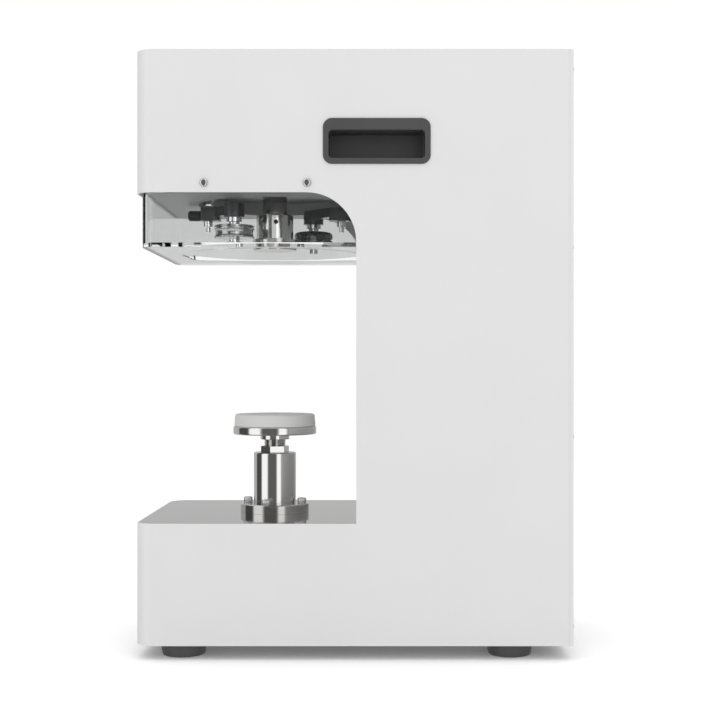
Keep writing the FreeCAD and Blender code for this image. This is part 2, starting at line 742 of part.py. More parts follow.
pivot_bore = "(pin_radius + running_gap)"
disc = plate("disc_plate", "XY_Plane", (), "0", "turret_thickness", [("0", "0", "turret_radius")])
bosses = [rod(f"pivot_boss_{index}", "boss_radius", "boss_height + 1", x, "0", "0 - boss_height")
          for index, x in enumerate(("0 - pivot_reach", "pivot_reach"))]
disc_bores = [rod("disc_spindle_bore", "spindle_radius", "2 * turret_thickness", "0", "0",
                  "0 - turret_thickness / 2")]
for index, x in enumerate(("0 - pivot_reach", "pivot_reach")):
    disc_bores.append(rod(f"disc_pivot_bore_{index}", pivot_bore, "2 * turret_thickness + boss_height", x, "0",
                          "0 - boss_height - 1"))
node(place(cut("turret_disc", fuse("disc_solid", [disc] + bosses), disc_bores), axis_x, "0", turret_z),
     "turret_disc")
bore_radius = "(shaft_radius + shaft_clearance)"
node(turned("turret_spindle", [
    (bore_radius, turret_z), ("spindle_radius", turret_z),
    ("spindle_radius", f"{turret_pulley_z} + pulley_width + 2"),
    (bore_radius, f"{turret_pulley_z} + pulley_width + 2")], axis_x), "turret_spindle")


def pulley_profile(teeth, bore):
    """Outline of a flanged belt pulley of so many teeth, standing on its lower flange."""
    rim = f"({teeth} * belt_pitch / (2 * pi))"
    return [(bore, "0"), (f"{rim} + pulley_flange_rise", "0"), (f"{rim} + pulley_flange_rise", "pulley_flange"),
            (rim, "pulley_flange"), (rim, "pulley_width - pulley_flange"),
            (f"{rim} + pulley_flange_rise", "pulley_width - pulley_flange"),
            (f"{rim} + pulley_flange_rise", "pulley_width"), (bore, "pulley_width")]


node(turned("turret_pulley", pulley_profile("turret_teeth", "spindle_radius"), axis_x, "0",
            turret_pulley_z), "turret_pulley")
node(turned("cam_pulley", pulley_profile("cam_teeth", sleeve_radius), axis_x, "0",
            cam_pulley_z), "cam_pulley")

def loop_round(big, small, distance):
    """Face inside the loop that runs round a big circle at 0 and a small one at a distance."""
    lean = math.acos((big - small) / distance)
    points = []
    for centre, radius in ((0, big), (distance, small)):
        for side in (1, -1):
            points.append(FreeCAD.Vector(centre + radius * math.cos(lean), side * radius * math.sin(lean), 0))
    back_of_big = FreeCAD.Vector(-big, 0, 0)
    back_of_small = FreeCAD.Vector(distance + small, 0, 0)
    edges = [Part.Arc(points[0], back_of_big, points[1]).toShape(),
             Part.LineSegment(points[1], points[3]).toShape(),
             Part.Arc(points[3], back_of_small, points[2]).toShape(),
             Part.LineSegment(points[2], points[0]).toShape()]
    return Part.Face(Part.Wire(edges))


# Cam on its sleeve: a round disc whose one lobe swings each lever in once per turn. Straight flanks
# join the lobe's nose to the base circle.
nose_setback = sheet.cam_base_radius + sheet.cam_rise - sheet.cam_nose_radius
cam_plate = doc.addObject("Part::Feature", "cam_plate")
cam_plate.Shape = loop_round(sheet.cam_base_radius, sheet.cam_nose_radius, nose_setback).extrude(
    FreeCAD.Vector(0, 0, sheet.cam_thickness))
sleeve_height = f"({cam_pulley_z} + pulley_width - {cam_z})"
sleeve = rod("cam_sleeve_tube", sleeve_radius, sleeve_height)
sleeve_bore = rod("cam_sleeve_bore", "spindle_radius + running_gap", sleeve_height)
cam = cut("cam_sleeve", fuse("cam_solid", [cam_plate, sleeve]), [sleeve_bore])
node(place(cam, axis_x, "0", cam_z, sheet.lobe_turn), "cam_sleeve")

# Levers and rolls, set out about the turret's axis ----------------------------------------------

ROLLS = (("1", 0), ("2", 180))
arm_low_z = f"({lever_top_z} - lever_thickness)"
eye_low_z = f"({lever_top_z} - eye_height)"
block_low_z = f"({lever_top_z} - lever_block)"
roll_profile = [
    ("journal_radius + running_gap", "0"), ("roll_radius - 1", "0"), ("roll_radius", "1"),
    ("roll_radius", "roll_height * 0.12"), ("roll_radius - roll_groove", "roll_height * 0.2"),
    ("roll_radius - roll_groove", "roll_height * 0.28"), ("roll_radius - 0.5", "roll_height * 0.36"),
    ("roll_radius - 0.5", "roll_height * 0.62"), ("roll_radius - 2", "roll_height * 0.66"),
    ("roll_radius - 2", "roll_height * 0.72"), ("roll_radius", "roll_height * 0.76"),
    ("roll_radius", "roll_height - 2"), ("roll_radius - 2", "roll_height"),
    ("journal_radius + running_gap", "roll_height")]
for number_name, turn in ROLLS:
    lever_arm = block(f"lever_arm_{number_name}", ("0", "lever_length"),
                      ("0 - lever_width / 2", "lever_width / 2"), (arm_low_z, lever_top_z))
    place(lever_arm, "0 - pivot_reach", "0", arm_low_z, sheet.lever_angle)
    lever_eye = rod(f"lever_eye_{number_name}", "eye_radius", "eye_height", roll_x, roll_y, eye_low_z)
    lever_tail = plate(f"lever_tail_{number_name}", "XY_Plane",
                       rounded("(tail_overlap / 2 - pivot_reach)", "0", "(2 * lever_tail + tail_overlap)",
                               "tail_width", "tail_rounding"),
                       block_low_z, lever_top_z)
    lever_solid = fuse(f"lever_solid_{number_name}", [lever_arm, lever_eye, lever_tail])
    bores = [
        rod(f"lever_pin_bore_{number_name}", "pin_radius", "2 * lever_block", "0 - pivot_reach", "0",
            f"{block_low_z} - 1"),
        rod(f"lever_eye_bore_{number_name}", "journal_radius", "2 * eye_height", roll_x, roll_y,
            f"{eye_low_z} - 1"),
        block(f"lever_slit_{number_name}", (f"{roll_x} - eye_radius - 1", roll_x),
              (f"{roll_y} - slit_width / 2", f"{roll_y} + slit_width / 2"),
              (f"{eye_low_z} - 1", f"{lever_top_z} + 1"))]
    lever = cut(f"lever_{number_name}", lever_solid, bores)
    node(place(lever, axis_x, "0", "0", turn), f"lever_{number_name}")

    stub_z = f"({block_low_z} - pin_head_height)"
    tip_z = f"({stub_z} - pin_tip_height)"
    rocker_top_z = f"({cam_z} + cam_thickness)"
    pivot = turned(f"pivot_profile_{number_name}", [
        ("0", tip_z), ("pin_tip_radius", tip_z), ("pin_tip_radius", stub_z), ("pin_head_radius", stub_z),
        ("pin_head_radius", block_low_z), ("pin_radius", block_low_z), ("pin_radius", rocker_top_z),
        ("0", rocker_top_z)], "0 - pivot_reach")
    node(place(group(f"lever_pivot_{number_name}", [pivot]), axis_x, "0", "0", turn),
         f"lever_pivot_{number_name}")

    adjuster = turned(f"adjuster_profile_{number_name}", [
        ("0", "0"), ("adjuster_radius - adjuster_chamfer", "0"), ("adjuster_radius", "adjuster_chamfer"),
        ("adjuster_radius", "adjuster_length"), ("0", "adjuster_length")])
    place(adjuster, "0 - pivot_reach - lever_tail - adjuster_length", "0",
          f"{block_low_z} + adjuster_radius", 90, (0, 1, 0))
    node(place(group(f"adjusting_screw_{number_name}", [adjuster]), axis_x, "0", "0", turn),
         f"adjusting_screw_{number_name}")

    washer_z = f"({roll_low_z} - roll_washer)"
    spindle = turned(f"spindle_profile_{number_name}", [
        ("0", f"{washer_z} - roll_nut_height"), ("roll_nut_radius", f"{washer_z} - roll_nut_height"),
        ("roll_nut_radius", washer_z), ("journal_radius + washer_width", washer_z),
        ("journal_radius + washer_width", f"{roll_low_z} - running_gap"),
        ("journal_radius", f"{roll_low_z} - running_gap"), ("journal_radius", f"{roll_top_z} + running_gap"),
        ("roll_neck_radius + 2", f"{roll_top_z} + running_gap"), ("roll_neck_radius + 2", eye_low_z),
        ("journal_radius", eye_low_z), ("journal_radius", lever_top_z), ("roll_nut_radius", lever_top_z),
        ("roll_nut_radius", f"{lever_top_z} + 2"), ("0", f"{lever_top_z} + 2")], roll_x, roll_y)
    node(place(group(f"roll_spindle_{number_name}", [spindle]), axis_x, "0", "0", turn),
         f"roll_spindle_{number_name}")

    roll = turned(f"roll_profile_{number_name}", roll_profile, roll_x, roll_y, roll_low_z)
    node(place(group(f"seaming_roll_{number_name}", [roll]), axis_x, "0", "0", turn),
         f"seaming_roll_{number_name}")

    # Rocker above the turret disc, with a follower roller that runs on the cam.
    arm = block(f"rocker_arm_bar_{number_name}", ("0", "rocker_length"),
                ("0 - rocker_half_width", "rocker_half_width"), ("0", "rocker_thickness"))
    place(arm, "0 - pivot_reach", "0", f"{turret_top_z} + running_gap", sheet.rocker_angle)
    hub = rod(f"rocker_hub_{number_name}", "rocker_half_width",
              f"{rocker_top_z} - {turret_top_z} - running_gap", "0 - pivot_reach", "0",
              f"{turret_top_z} + running_gap")
    tip = rod(f"rocker_tip_{number_name}", "rocker_half_width", "rocker_thickness", follower_x, follower_y,
              f"{turret_top_z} + running_gap")
    post = rod(f"rocker_post_{number_name}", "follower_pin_radius", "rocker_thickness + follower_height",
               follower_x, follower_y, f"{turret_top_z} + running_gap")
    rocker_bore = rod(f"rocker_bore_{number_name}", "pin_radius", "4 * cam_thickness", "0 - pivot_reach", "0",
                      turret_top_z)
    rocker = cut(f"rocker_arm_{number_name}",
                 fuse(f"rocker_solid_{number_name}", [arm, hub, tip, post]), [rocker_bore])
    node(place(rocker, axis_x, "0", "0", turn), f"rocker_arm_{number_name}")
    follower_z = f"({turret_top_z} + 2 * running_gap + rocker_thickness)"
    follower = turned(f"follower_profile_{number_name}", [
        ("follower_pin_radius + running_gap", "0"), ("follower_radius", "0"),
        ("follower_radius", "follower_height - 2 * running_gap"),
        ("follower_pin_radius + running_gap", "follower_height - 2 * running_gap")],
        follower_x, follower_y, follower_z)
    node(place(group(f"follower_roller_{number_name}", [follower]), axis_x, "0", "0", turn),
         f"follower_roller_{number_name}")

# Drive ----------------------------------------------------------------------------------------

motor_case = rod("motor_case", "motor_radius", "motor_length", motor_x, "0", f"{motor_z} - motor_length")
node(motor_case, "drive_motor")
motor_rim = "(motor_teeth * belt_pitch / (2 * pi))"
node(turned("motor_shaft", [
    ("0", motor_z), ("motor_shaft_radius", motor_z),
    ("motor_shaft_radius", f"{turret_pulley_z} + pulley_width"), ("0", f"{turret_pulley_z} + pulley_width")],
    motor_x), "motor_shaft")
motor_profile = pulley_profile("motor_teeth", "motor_shaft_radius")
motor_pulleys = [turned("motor_pulley_low", motor_profile, motor_x, "0", cam_pulley_z),
                 turned("motor_pulley_high", motor_profile, motor_x, "0", turret_pulley_z)]
node(group("motor_pulleys", motor_pulleys), "motor_pulleys")


def belt(name, teeth, z):
    """Flat belt round a big pulley and the motor's small one."""
    big = number(f"{teeth} * belt_pitch / (2 * pi) + belt_gap")
    small = number(f"{motor_rim} + belt_gap")
    distance = number(f"{motor_x} - {axis_x}")
    width = FreeCAD.Vector(0, 0, number("pulley_width - 2 * pulley_flange - 2 * belt_gap"))
    outside = loop_round(big + sheet.belt_thickness, small + sheet.belt_thickness, distance).extrude(width)
    band = doc.addObject("Part::Feature", name)
    band.Shape = outside.cut(loop_round(big, small, distance).extrude(width))
    return place(band, axis_x, "0", f"{z} + pulley_flange + belt_gap")


node(group("drive_belts", [belt("turret_belt", "turret_teeth", turret_pulley_z),
                           belt("cam_belt", "cam_teeth", cam_pulley_z)]), "drive_belts")

# Lifter ---------------------------------------------------------------------------------------

guide_bore = "(column_radius + running_gap)"
guide_low_z = f"({deck_z} - guide_depth)"
guide = turned("guide_body", [
    (guide_bore, guide_low_z), ("guide_radius", guide_low_z), ("guide_radius", deck_z),
    ("flange_radius", deck_z), ("flange_radius", f"{deck_z} + flange_height - 1"),
    ("flange_radius - 1", f"{deck_z} + flange_height"), (guide_bore, f"{deck_z} + flange_height")], axis_x)
guide_holes = []
cap_screws = []
for index in range(4):
    angle = f"(cap_screw_turn + {90 * index})"
    x = f"({axis_x} + cap_circle_radius * cos{angle})"
    y = f"(cap_circle_radius * sin{angle})"
    guide_holes.append(rod(f"guide_hole_{index}", "cap_hole_radius", "flange_height * 2", x, y,
                           f"{deck_z} - flange_height / 2"))
    cap_screws.append(turned(f"cap_screw_{index}", [
        ("0", "0 - flange_height + 1"), ("cap_shank_radius", "0 - flange_height + 1"),
        ("cap_shank_radius", "0"), ("cap_screw_radius", "0"),
        ("cap_screw_radius", "cap_screw_head - 0.6"), ("cap_screw_radius - 0.6", "cap_screw_head"),
        ("cap_screw_radius / 2", "cap_screw_head"), ("cap_screw_radius / 2", "cap_screw_head / 2"),
        ("0", "cap_screw_head / 2")], x, y, f"{deck_z} + flange_height"))
node(cut("lifter_guide", guide, guide_holes), "lifter_guide")
node(group("guide_screws", cap_screws), "guide_screws")

rod_low_z = f"({guide_low_z} - 10 - rod_length)"
column_low_z = f"({guide_low_z} - 10)"
stud_bore = "(stud_radius + running_gap)"
node(turned("lifter_column", [
    ("0", rod_low_z), ("rod_radius", rod_low_z), ("rod_radius", column_low_z),
    ("column_radius", column_low_z), ("column_radius", f"{column_top_z} - 1"),
    ("column_radius - 1", column_top_z), (stud_bore, column_top_z),
    (stud_bore, f"{column_top_z} - stud_depth - 1"), ("0", f"{column_top_z} - stud_depth - 1")],
    axis_x), "lifter_column")

# Thin six-sided lock nut on top of the column.
nut_corners = []
for index in range(6):
    nut_corners.append((f"(nut_flats / 2 / cos(30) * cos({60 * index + 15}))",
                        f"(nut_flats / 2 / cos(30) * sin({60 * index + 15}))"))
lock_nut = plate("lock_nut", "XY_Plane", nut_corners, column_top_z, f"{column_top_z} + nut_height",
                 [("0", "0", stud_bore)])
node(place(lock_nut, axis_x, "0", column_top_z), "lock_nut")

stud_low_z = f"({column_top_z} - stud_depth)"
node(turned("platform_stud", [
    ("0", stud_low_z), ("stud_radius", stud_low_z), ("stud_radius", stud_top_z),
    ("collar_radius", stud_top_z), ("collar_radius", platform_z), ("0", platform_z)],
    axis_x), "platform_stud")
node(turned("platform_plate", [
    ("0", platform_z), ("platform_radius - platform_chamfer", platform_z),
    ("platform_radius", f"{platform_z} + platform_chamfer"),
    ("platform_radius", f"{pad_z} - platform_chamfer"), ("platform_radius - platform_chamfer", pad_z),
    ("0", pad_z)], axis_x), "platform_plate")
node(turned("platform_pad", [
    ("0", pad_z), ("pad_radius", pad_z), ("pad_top_radius", f"{pad_z} + pad_height - pad_rounding"),
    ("pad_top_radius - pad_rounding", f"{pad_z} + pad_height"), ("0", f"{pad_z} + pad_height")],
    axis_x), "platform_pad")

# Actuator under the column: the column's rod slides in it.
actuator_top_z = f"({column_low_z} - actuator_top_gap)"
node(turned("lift_actuator", [
    ("0", frame_low_z), ("actuator_radius", frame_low_z), ("actuator_radius", actuator_top_z),
    ("rod_radius + running_gap", actuator_top_z), ("rod_radius + running_gap", f"{rod_low_z} - 2"),
    ("0", f"{rod_low_z} - 2")], axis_x), "lift_actuator")

# Controls -------------------------------------------------------------------------------------

front_x = f"(0 - {half_length})"
barrel_radius = f"({button_hole} - 0.1)"
bezel = turned("bezel_ring", [
    ("button_radius + 0.5", "0"), ("bezel_radius", "0"), ("bezel_radius - 1", "bezel_height"),
    ("button_radius + 0.5", "bezel_height")])
barrel = turned("bezel_barrel", [
    ("button_radius + 0.5", "0 - bezel_depth"), (barrel_radius, "0 - bezel_depth"), (barrel_radius, "0"),
    ("button_radius + 0.5", "0")])
barrel_end = turned("bezel_end", [
    ("0", "0 - bezel_depth - 2"), (barrel_radius, "0 - bezel_depth - 2"), (barrel_radius, "0 - bezel_depth"),
    ("0", "0 - bezel_depth")])
housing = fuse("button_bezel", [bezel, barrel, barrel_end])
node(place(housing, front_x, "0", button_z, -90, (0, 1, 0)), "button_bezel")
cap = turned("button_cap", [
    ("0", "0 - bezel_depth + button_cap_height"), ("button_radius", "0 - bezel_depth + button_cap_height"),
    ("button_radius", "button_cap_height - 1"), ("button_radius - 1", "button_cap_height"),
    ("0", "button_cap_height")])
node(place(cap, front_x, "0", button_z, -90, (0, 1, 0)), "start_button")

# Moulded module with the power inlet and its rocker switch behind one lip.
def socket_block(name, y, width, height, x_low, x_high, margin):
    """A block about a cut-out of the rear panel, larger or smaller by a margin all round."""
    return block(name, (x_low, x_high), (f"{y} - {width} / 2 - {margin}", f"{y} + {width} / 2 + {margin}"),
                 (f"{socket_z} - {height} / 2 - {margin}", f"{socket_z} + {height} / 2 + {margin}"))


lip_face = f"({half_length} + lip_thickness)"
module_parts = [
    socket_block("switch_block", switch_y, "switch_width", "switch_height", f"({half_length} - socket_depth)",
                 half_length, "(0 - seam_gap)"),
    socket_block("inlet_block", inlet_y, "inlet_width", "inlet_height", f"({half_length} - socket_depth)",
                 half_length, "(0 - seam_gap)"),
    block("module_lip", (half_length, lip_face),
          (f"{inlet_y} - inlet_width / 2 - lip_margin", f"{switch_y} + switch_width / 2 + lip_margin"),
          (f"{socket_z} - switch_height / 2 - lip_margin", f"{socket_z} + switch_height / 2 + lip_margin"))]
module_hollows = [
    socket_block("switch_hollow", switch_y, "switch_width", "switch_height",
                 f"({half_length} - socket_depth + 4)", f"({lip_face} + 1)", "(0 - socket_wall)"),
    socket_block("inlet_hollow", inlet_y, "inlet_width", "inlet_height",
                 f"({half_length} - socket_depth + 4)", f"({lip_face} + 1)", "(0 - socket_wall)")]
rocker_side = "(switch_width / 2 - socket_wall - 0.5)"
axle_low_y = f"{switch_y} - {rocker_side} - axle_reach"
axle_length = f"2 * ({rocker_side} + axle_reach)"
axle_x = f"({half_length} - axle_setback)"
module_hollows.append(rod("axle_bore", "axle_radius + running_gap", f"{axle_length} + 2 * running_gap",
                          axle_x, f"{axle_low_y} - running_gap", socket_z, "Y"))
contacts = []
for index, (y, z) in enumerate((("0 - contact_spacing", "0 - contact_rise"), ("0", "contact_rise"),
                                ("contact_spacing", "0 - contact_rise"))):
    contacts.append(block(f"inlet_contact_{index}", (f"{half_length} - socket_depth + 3", f"{half_length} - 2"),
                          (f"{inlet_y} + {y} - 1", f"{inlet_y} + {y} + 1"),
                          (f"{socket_z} + {z} - 2.5", f"{socket_z} + {z} + 2.5")))
module_cup = cut("module_cup", fuse("module_solid", module_parts), module_hollows)
node(fuse("power_module", [module_cup] + contacts), "power_module")

rocker_half = "(switch_height / 2 - socket_wall - rocker_end_gap)"
rocker_face = f"({half_length} + lip_thickness)"
rocker_body = plate("rocker_body", "XZ_Plane", [
    (f"{half_length} - 6", f"{socket_z} - {rocker_half} + 3"),
    (f"{rocker_face} - rocker_dip", f"{socket_z} - {rocker_half}"),
    (rocker_face, socket_z), (f"{rocker_face} + rocker_rise", f"{socket_z} + {rocker_half}"),
    (f"{half_length} - 5", f"{socket_z} + {rocker_half} - 3")],
    f"{switch_y} - {rocker_side}", f"{switch_y} + {rocker_side}")
rocker_axle = rod("rocker_axle", "axle_radius", axle_length, axle_x, axle_low_y, socket_z, "Y")
node(fuse("switch_rocker", [rocker_body, rocker_axle]), "switch_rocker")

# Check every object, then write each piece to its own file --------------------------------------

doc.recompute()
faults = []
for thing in doc.Objects:
    if "Invalid" in thing.State or "Error" in thing.State:
        faults.append(f"{thing.Name}: {thing.State}")
for thing in nodes:
    if thing.Shape.isNull() or not thing.Shape.isValid() or not thing.Shape.Solids:
        faults.append(f"{thing.Label}: shape is not sound")
if faults:
    raise RuntimeError("; ".join(faults))
os.makedirs("parts", exist_ok=True)
for thing in nodes:
    thing.Shape.exportStep(os.path.join("parts", thing.Label + ".step"))
print(len(nodes), "pieces written")
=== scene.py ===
import json
import math

import bmesh
import bpy
from mathutils import Matrix, Vector


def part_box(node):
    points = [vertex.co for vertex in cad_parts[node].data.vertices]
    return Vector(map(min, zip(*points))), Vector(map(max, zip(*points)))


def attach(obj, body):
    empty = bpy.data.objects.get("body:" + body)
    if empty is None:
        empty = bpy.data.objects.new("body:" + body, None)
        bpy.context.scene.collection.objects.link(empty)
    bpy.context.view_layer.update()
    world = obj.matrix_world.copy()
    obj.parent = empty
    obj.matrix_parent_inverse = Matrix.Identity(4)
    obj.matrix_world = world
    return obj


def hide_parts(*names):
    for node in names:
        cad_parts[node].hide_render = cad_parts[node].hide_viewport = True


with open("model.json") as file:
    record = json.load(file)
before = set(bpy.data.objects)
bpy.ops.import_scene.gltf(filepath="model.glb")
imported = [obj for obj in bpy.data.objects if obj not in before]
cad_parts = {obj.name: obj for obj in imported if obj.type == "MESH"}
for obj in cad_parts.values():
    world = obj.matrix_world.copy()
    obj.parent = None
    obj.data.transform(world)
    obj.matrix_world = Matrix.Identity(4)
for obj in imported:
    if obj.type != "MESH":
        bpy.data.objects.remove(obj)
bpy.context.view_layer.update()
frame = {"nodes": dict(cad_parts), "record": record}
nodes = frame["nodes"]
body_of = {node: body for body, held in frame["record"]["behaviour"]["bodies"].items() for node in held}

# Casing. The visible shell is folded sheet steel with a satin white powder coat: two side panels that
# wrap round the front, narrow front panels between them, a top, a back and the throat's inner wall.
# Its bends are soft, so each panel's edges are eased before the coat goes on.


def eased(node, width, segments=2, sharp=32):
    """Copy of a CAD piece with its edges rounded by a width, which stands in for the CAD piece."""
    shell = bmesh.new()
    shell.from_mesh(nodes[node].data)
    bmesh.ops.remove_doubles(shell, verts=shell.verts, dist=1e-6)
    bmesh.ops.dissolve_limit(shell, angle_limit=math.radians(0.4), verts=shell.verts, edges=shell.edges)
    mesh = bpy.data.meshes.new(node + "_eased")
    shell.to_mesh(mesh)
    shell.free()
    mesh.shade_smooth()
    mesh.set_sharp_from_angle(angle=math.radians(sharp))
    piece = bpy.data.objects.new(node + "_eased", mesh)
    bpy.context.scene.collection.objects.link(piece)
    rounding = piece.modifiers.new("edges", "BEVEL")
    rounding.width = width
    rounding.segments = segments
    rounding.limit_method = "ANGLE"
    rounding.angle_limit = math.radians(sharp)
    level = piece.modifiers.new("flats", "WEIGHTED_NORMAL")
    level.weight = 100
    level.keep_sharp = True
    return stand_in(plain(piece), node)


def plain(piece):
    """The piece with its modifiers made part of its mesh."""
    finished = bpy.data.meshes.new_from_object(
        piece.evaluated_get(bpy.context.evaluated_depsgraph_get()))
    piece.modifiers.clear()
    piece.data = finished
    return piece


def stand_in(piece, node):
    """Let a piece take a CAD piece's place, body and finish."""
    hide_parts(node)
    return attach(piece, body_of[node])


def dressed(piece, material):
    """Give a piece, or a CAD piece by name, one material all over."""
    piece = nodes[piece] if isinstance(piece, str) else piece
    piece.data.materials.clear()
    piece.data.materials.append(material)
    return piece


def wire(tree, *links):
    """Join sockets given as (node, output, node, input)."""
    for start, output, end, entry in links:
        tree.links.new(start.outputs[output], end.inputs[entry])


def shader_group(name, inputs, outputs):
    """Empty node group with number inputs and the outputs named, as (tree, input node, output node)."""
    tree = bpy.data.node_groups.new(name, "ShaderNodeTree")
    for title, value in inputs:
        socket = tree.interface.new_socket(title, in_out="INPUT", socket_type="NodeSocketFloat")
        socket.default_value = value
    for title in outputs:
        tree.interface.new_socket(title, in_out="OUTPUT", socket_type="NodeSocketFloat")
    return tree, tree.nodes.new("NodeGroupInput"), tree.nodes.new("NodeGroupOutput")


def maths(tree, operation, *values):
    """Math node in a tree. Each value is a number or a (node, output) pair."""
    step = tree.nodes.new("ShaderNodeMath")
    step.operation = operation
    for index, value in enumerate(values):
        if isinstance(value, tuple):
            tree.links.new(value[0].outputs[value[1]], step.inputs[index])
        else:
            step.inputs[index].default_value = value
    return step


def noise(tree, source, output, scale, detail=3.0, roughness=0.5):
    """Noise texture on coordinates that another node puts out. The scale is a number or a pair."""
    grain = tree.nodes.new("ShaderNodeTexNoise")
    tree.links.new(source.outputs[output], grain.inputs["Vector"])
    if isinstance(scale, tuple):
        tree.links.new(scale[0].outputs[scale[1]], grain.inputs["Scale"])
    else:
        grain.inputs["Scale"].default_value = scale
    grain.inputs["Detail"].default_value = detail
    grain.inputs["Roughness"].default_value = roughness
    return grain


# Fine pebbled skin of powder coat or moulded plastic, with a slow drift of tone under it.
skin, entry, result = shader_group("pebbled_skin", [("Pebble Scale", 900.0), ("Drift Scale", 9.0)],
                                   ["Pebbles", "Drift"])
place = skin.nodes.new("ShaderNodeTexCoord")
wire(skin, (noise(skin, place, "Object", (entry, "Pebble Scale"), 2.0), "Fac", result, "Pebbles"),
     (noise(skin, place, "Object", (entry, "Drift Scale"), 4.0), "Fac", result, "Drift"))


def finish(name, dark, light, roughness, metallic=0.0):
    """New material whose colour runs between two tones, as (tree, shader, colour mix, bump)."""
    material = bpy.data.materials.new(name)
    material.use_nodes = True
    tree = material.node_tree
    shader = tree.nodes["Principled BSDF"]
    shader.inputs["Roughness"].default_value = roughness
    shader.inputs["Metallic"].default_value = metallic
    tones = tree.nodes.new("ShaderNodeMix")
    tones.data_type = "RGBA"
    tones.inputs["A"].default_value = (*dark, 1)
    tones.inputs["B"].default_value = (*light, 1)
    bump = tree.nodes.new("ShaderNodeBump")
    tree.links.new(tones.outputs["Result"], shader.inputs["Base Color"])
    tree.links.new(bump.outputs["Normal"], shader.inputs["Normal"])
    return material, tree, shader, tones, bump


def pebbled(name, dark, light, roughness, pebble_scale, depth, drift_scale=9.0, spread=0.06):
    """Coated or moulded finish: pebbled skin in the bump, slow drift in colour and roughness."""
    material, tree, shader, tones, bump = finish(name, dark, light, roughness)
    grain = tree.nodes.new("ShaderNodeGroup")
    grain.node_tree = skin
    grain.inputs["Pebble Scale"].default_value = pebble_scale
    grain.inputs["Drift Scale"].default_value = drift_scale
    rough = maths(tree, "MULTIPLY_ADD", (grain, "Drift"), spread, roughness - spread / 2)
    wire(tree, (grain, "Drift", tones, "Factor"), (grain, "Pebbles", bump, "Height"),
         (rough, "Value", shader, "Roughness"))
    bump.inputs["Strength"].default_value = 0.25
    bump.inputs["Distance"].default_value = depth
    return material


coat = pebbled("satin_white_coat", (0.60, 0.60, 0.60), (0.63, 0.63, 0.63), 0.42, 900.0, 0.00006)
for panel, radius in (("side_panel_right", 0.0008), ("side_panel_left", 0.0008), ("front_panel_head", 0.0003),
                      ("front_panel_base", 0.0003), ("top_panel", 0.0004), ("rear_panel", 0.0004),
                      ("column_front_panel", 0.0004)):
    dressed(eased(panel, radius), coat)

# Cover screws. Pan head screws with a hexagon socket hold the back and the base pan to the shell.
# Each head is a low dome, drilled and broached from above; one pattern tree sets them all out.


def ring_radius(shape, radius, angle):
    """Distance from the middle to the edge of a round, hexagonal or knurled outline at an angle."""
    if shape == "hex":
        return radius / math.cos((angle + math.pi / 6) % (math.pi / 3) - math.pi / 6)
    if shape == "knurl":
        return radius * (1 - 0.022 * (1 + math.cos(36 * angle)))
    return radius


def lofted(name, rings, around=36):
    """Closed mesh through rings given as (outline, radius, height), from the lowest part of its skin on."""
    solid = bmesh.new()
    loops = []
    for shape, radius, height in rings:
        loop = []
        for index in range(around):
            angle = 2 * math.pi * index / around
            reach = ring_radius(shape, radius, angle)
            loop.append(solid.verts.new((reach * math.cos(angle), reach * math.sin(angle), height)))
        loops.append(loop)
    for lower, upper in zip(loops, loops[1:]):
        for index in range(around):
            following = (index + 1) % around
            solid.faces.new((lower[index], lower[following], upper[following], upper[index]))
    solid.faces.new(loops[0][::-1])
    solid.faces.new(loops[-1])
    bmesh.ops.recalc_face_normals(solid, faces=solid.faces)
    mesh = bpy.data.meshes.new(name)
    solid.to_mesh(mesh)
    solid.free()
    mesh.shade_smooth()
    mesh.set_sharp_from_angle(angle=math.radians(32))
    return mesh


def solids(node):
    """The (lowest corner, highest corner) of each separate solid of a CAD piece."""
    shell = bmesh.new()
    shell.from_mesh(nodes[node].data)
    bmesh.ops.remove_doubles(shell, verts=shell.verts, dist=1e-6)
    left = set(shell.verts)
    boxes = []
    while left:
        reached = {left.pop()}
        edge = list(reached)
        while edge:
            nearby = {link.other_vert(vert) for vert in edge for link in vert.link_edges} - reached
            reached |= nearby
            edge = list(nearby)
        left -= reached
        spots = [vert.co for vert in reached]
        boxes.append((Vector([min(spot[i] for spot in spots) for i in range(3)]),
                      Vector([max(spot[i] for spot in spots) for i in range(3)])))
    shell.free()
    return sorted(boxes, key=lambda box: tuple(round(value, 5) for value in box[0]))


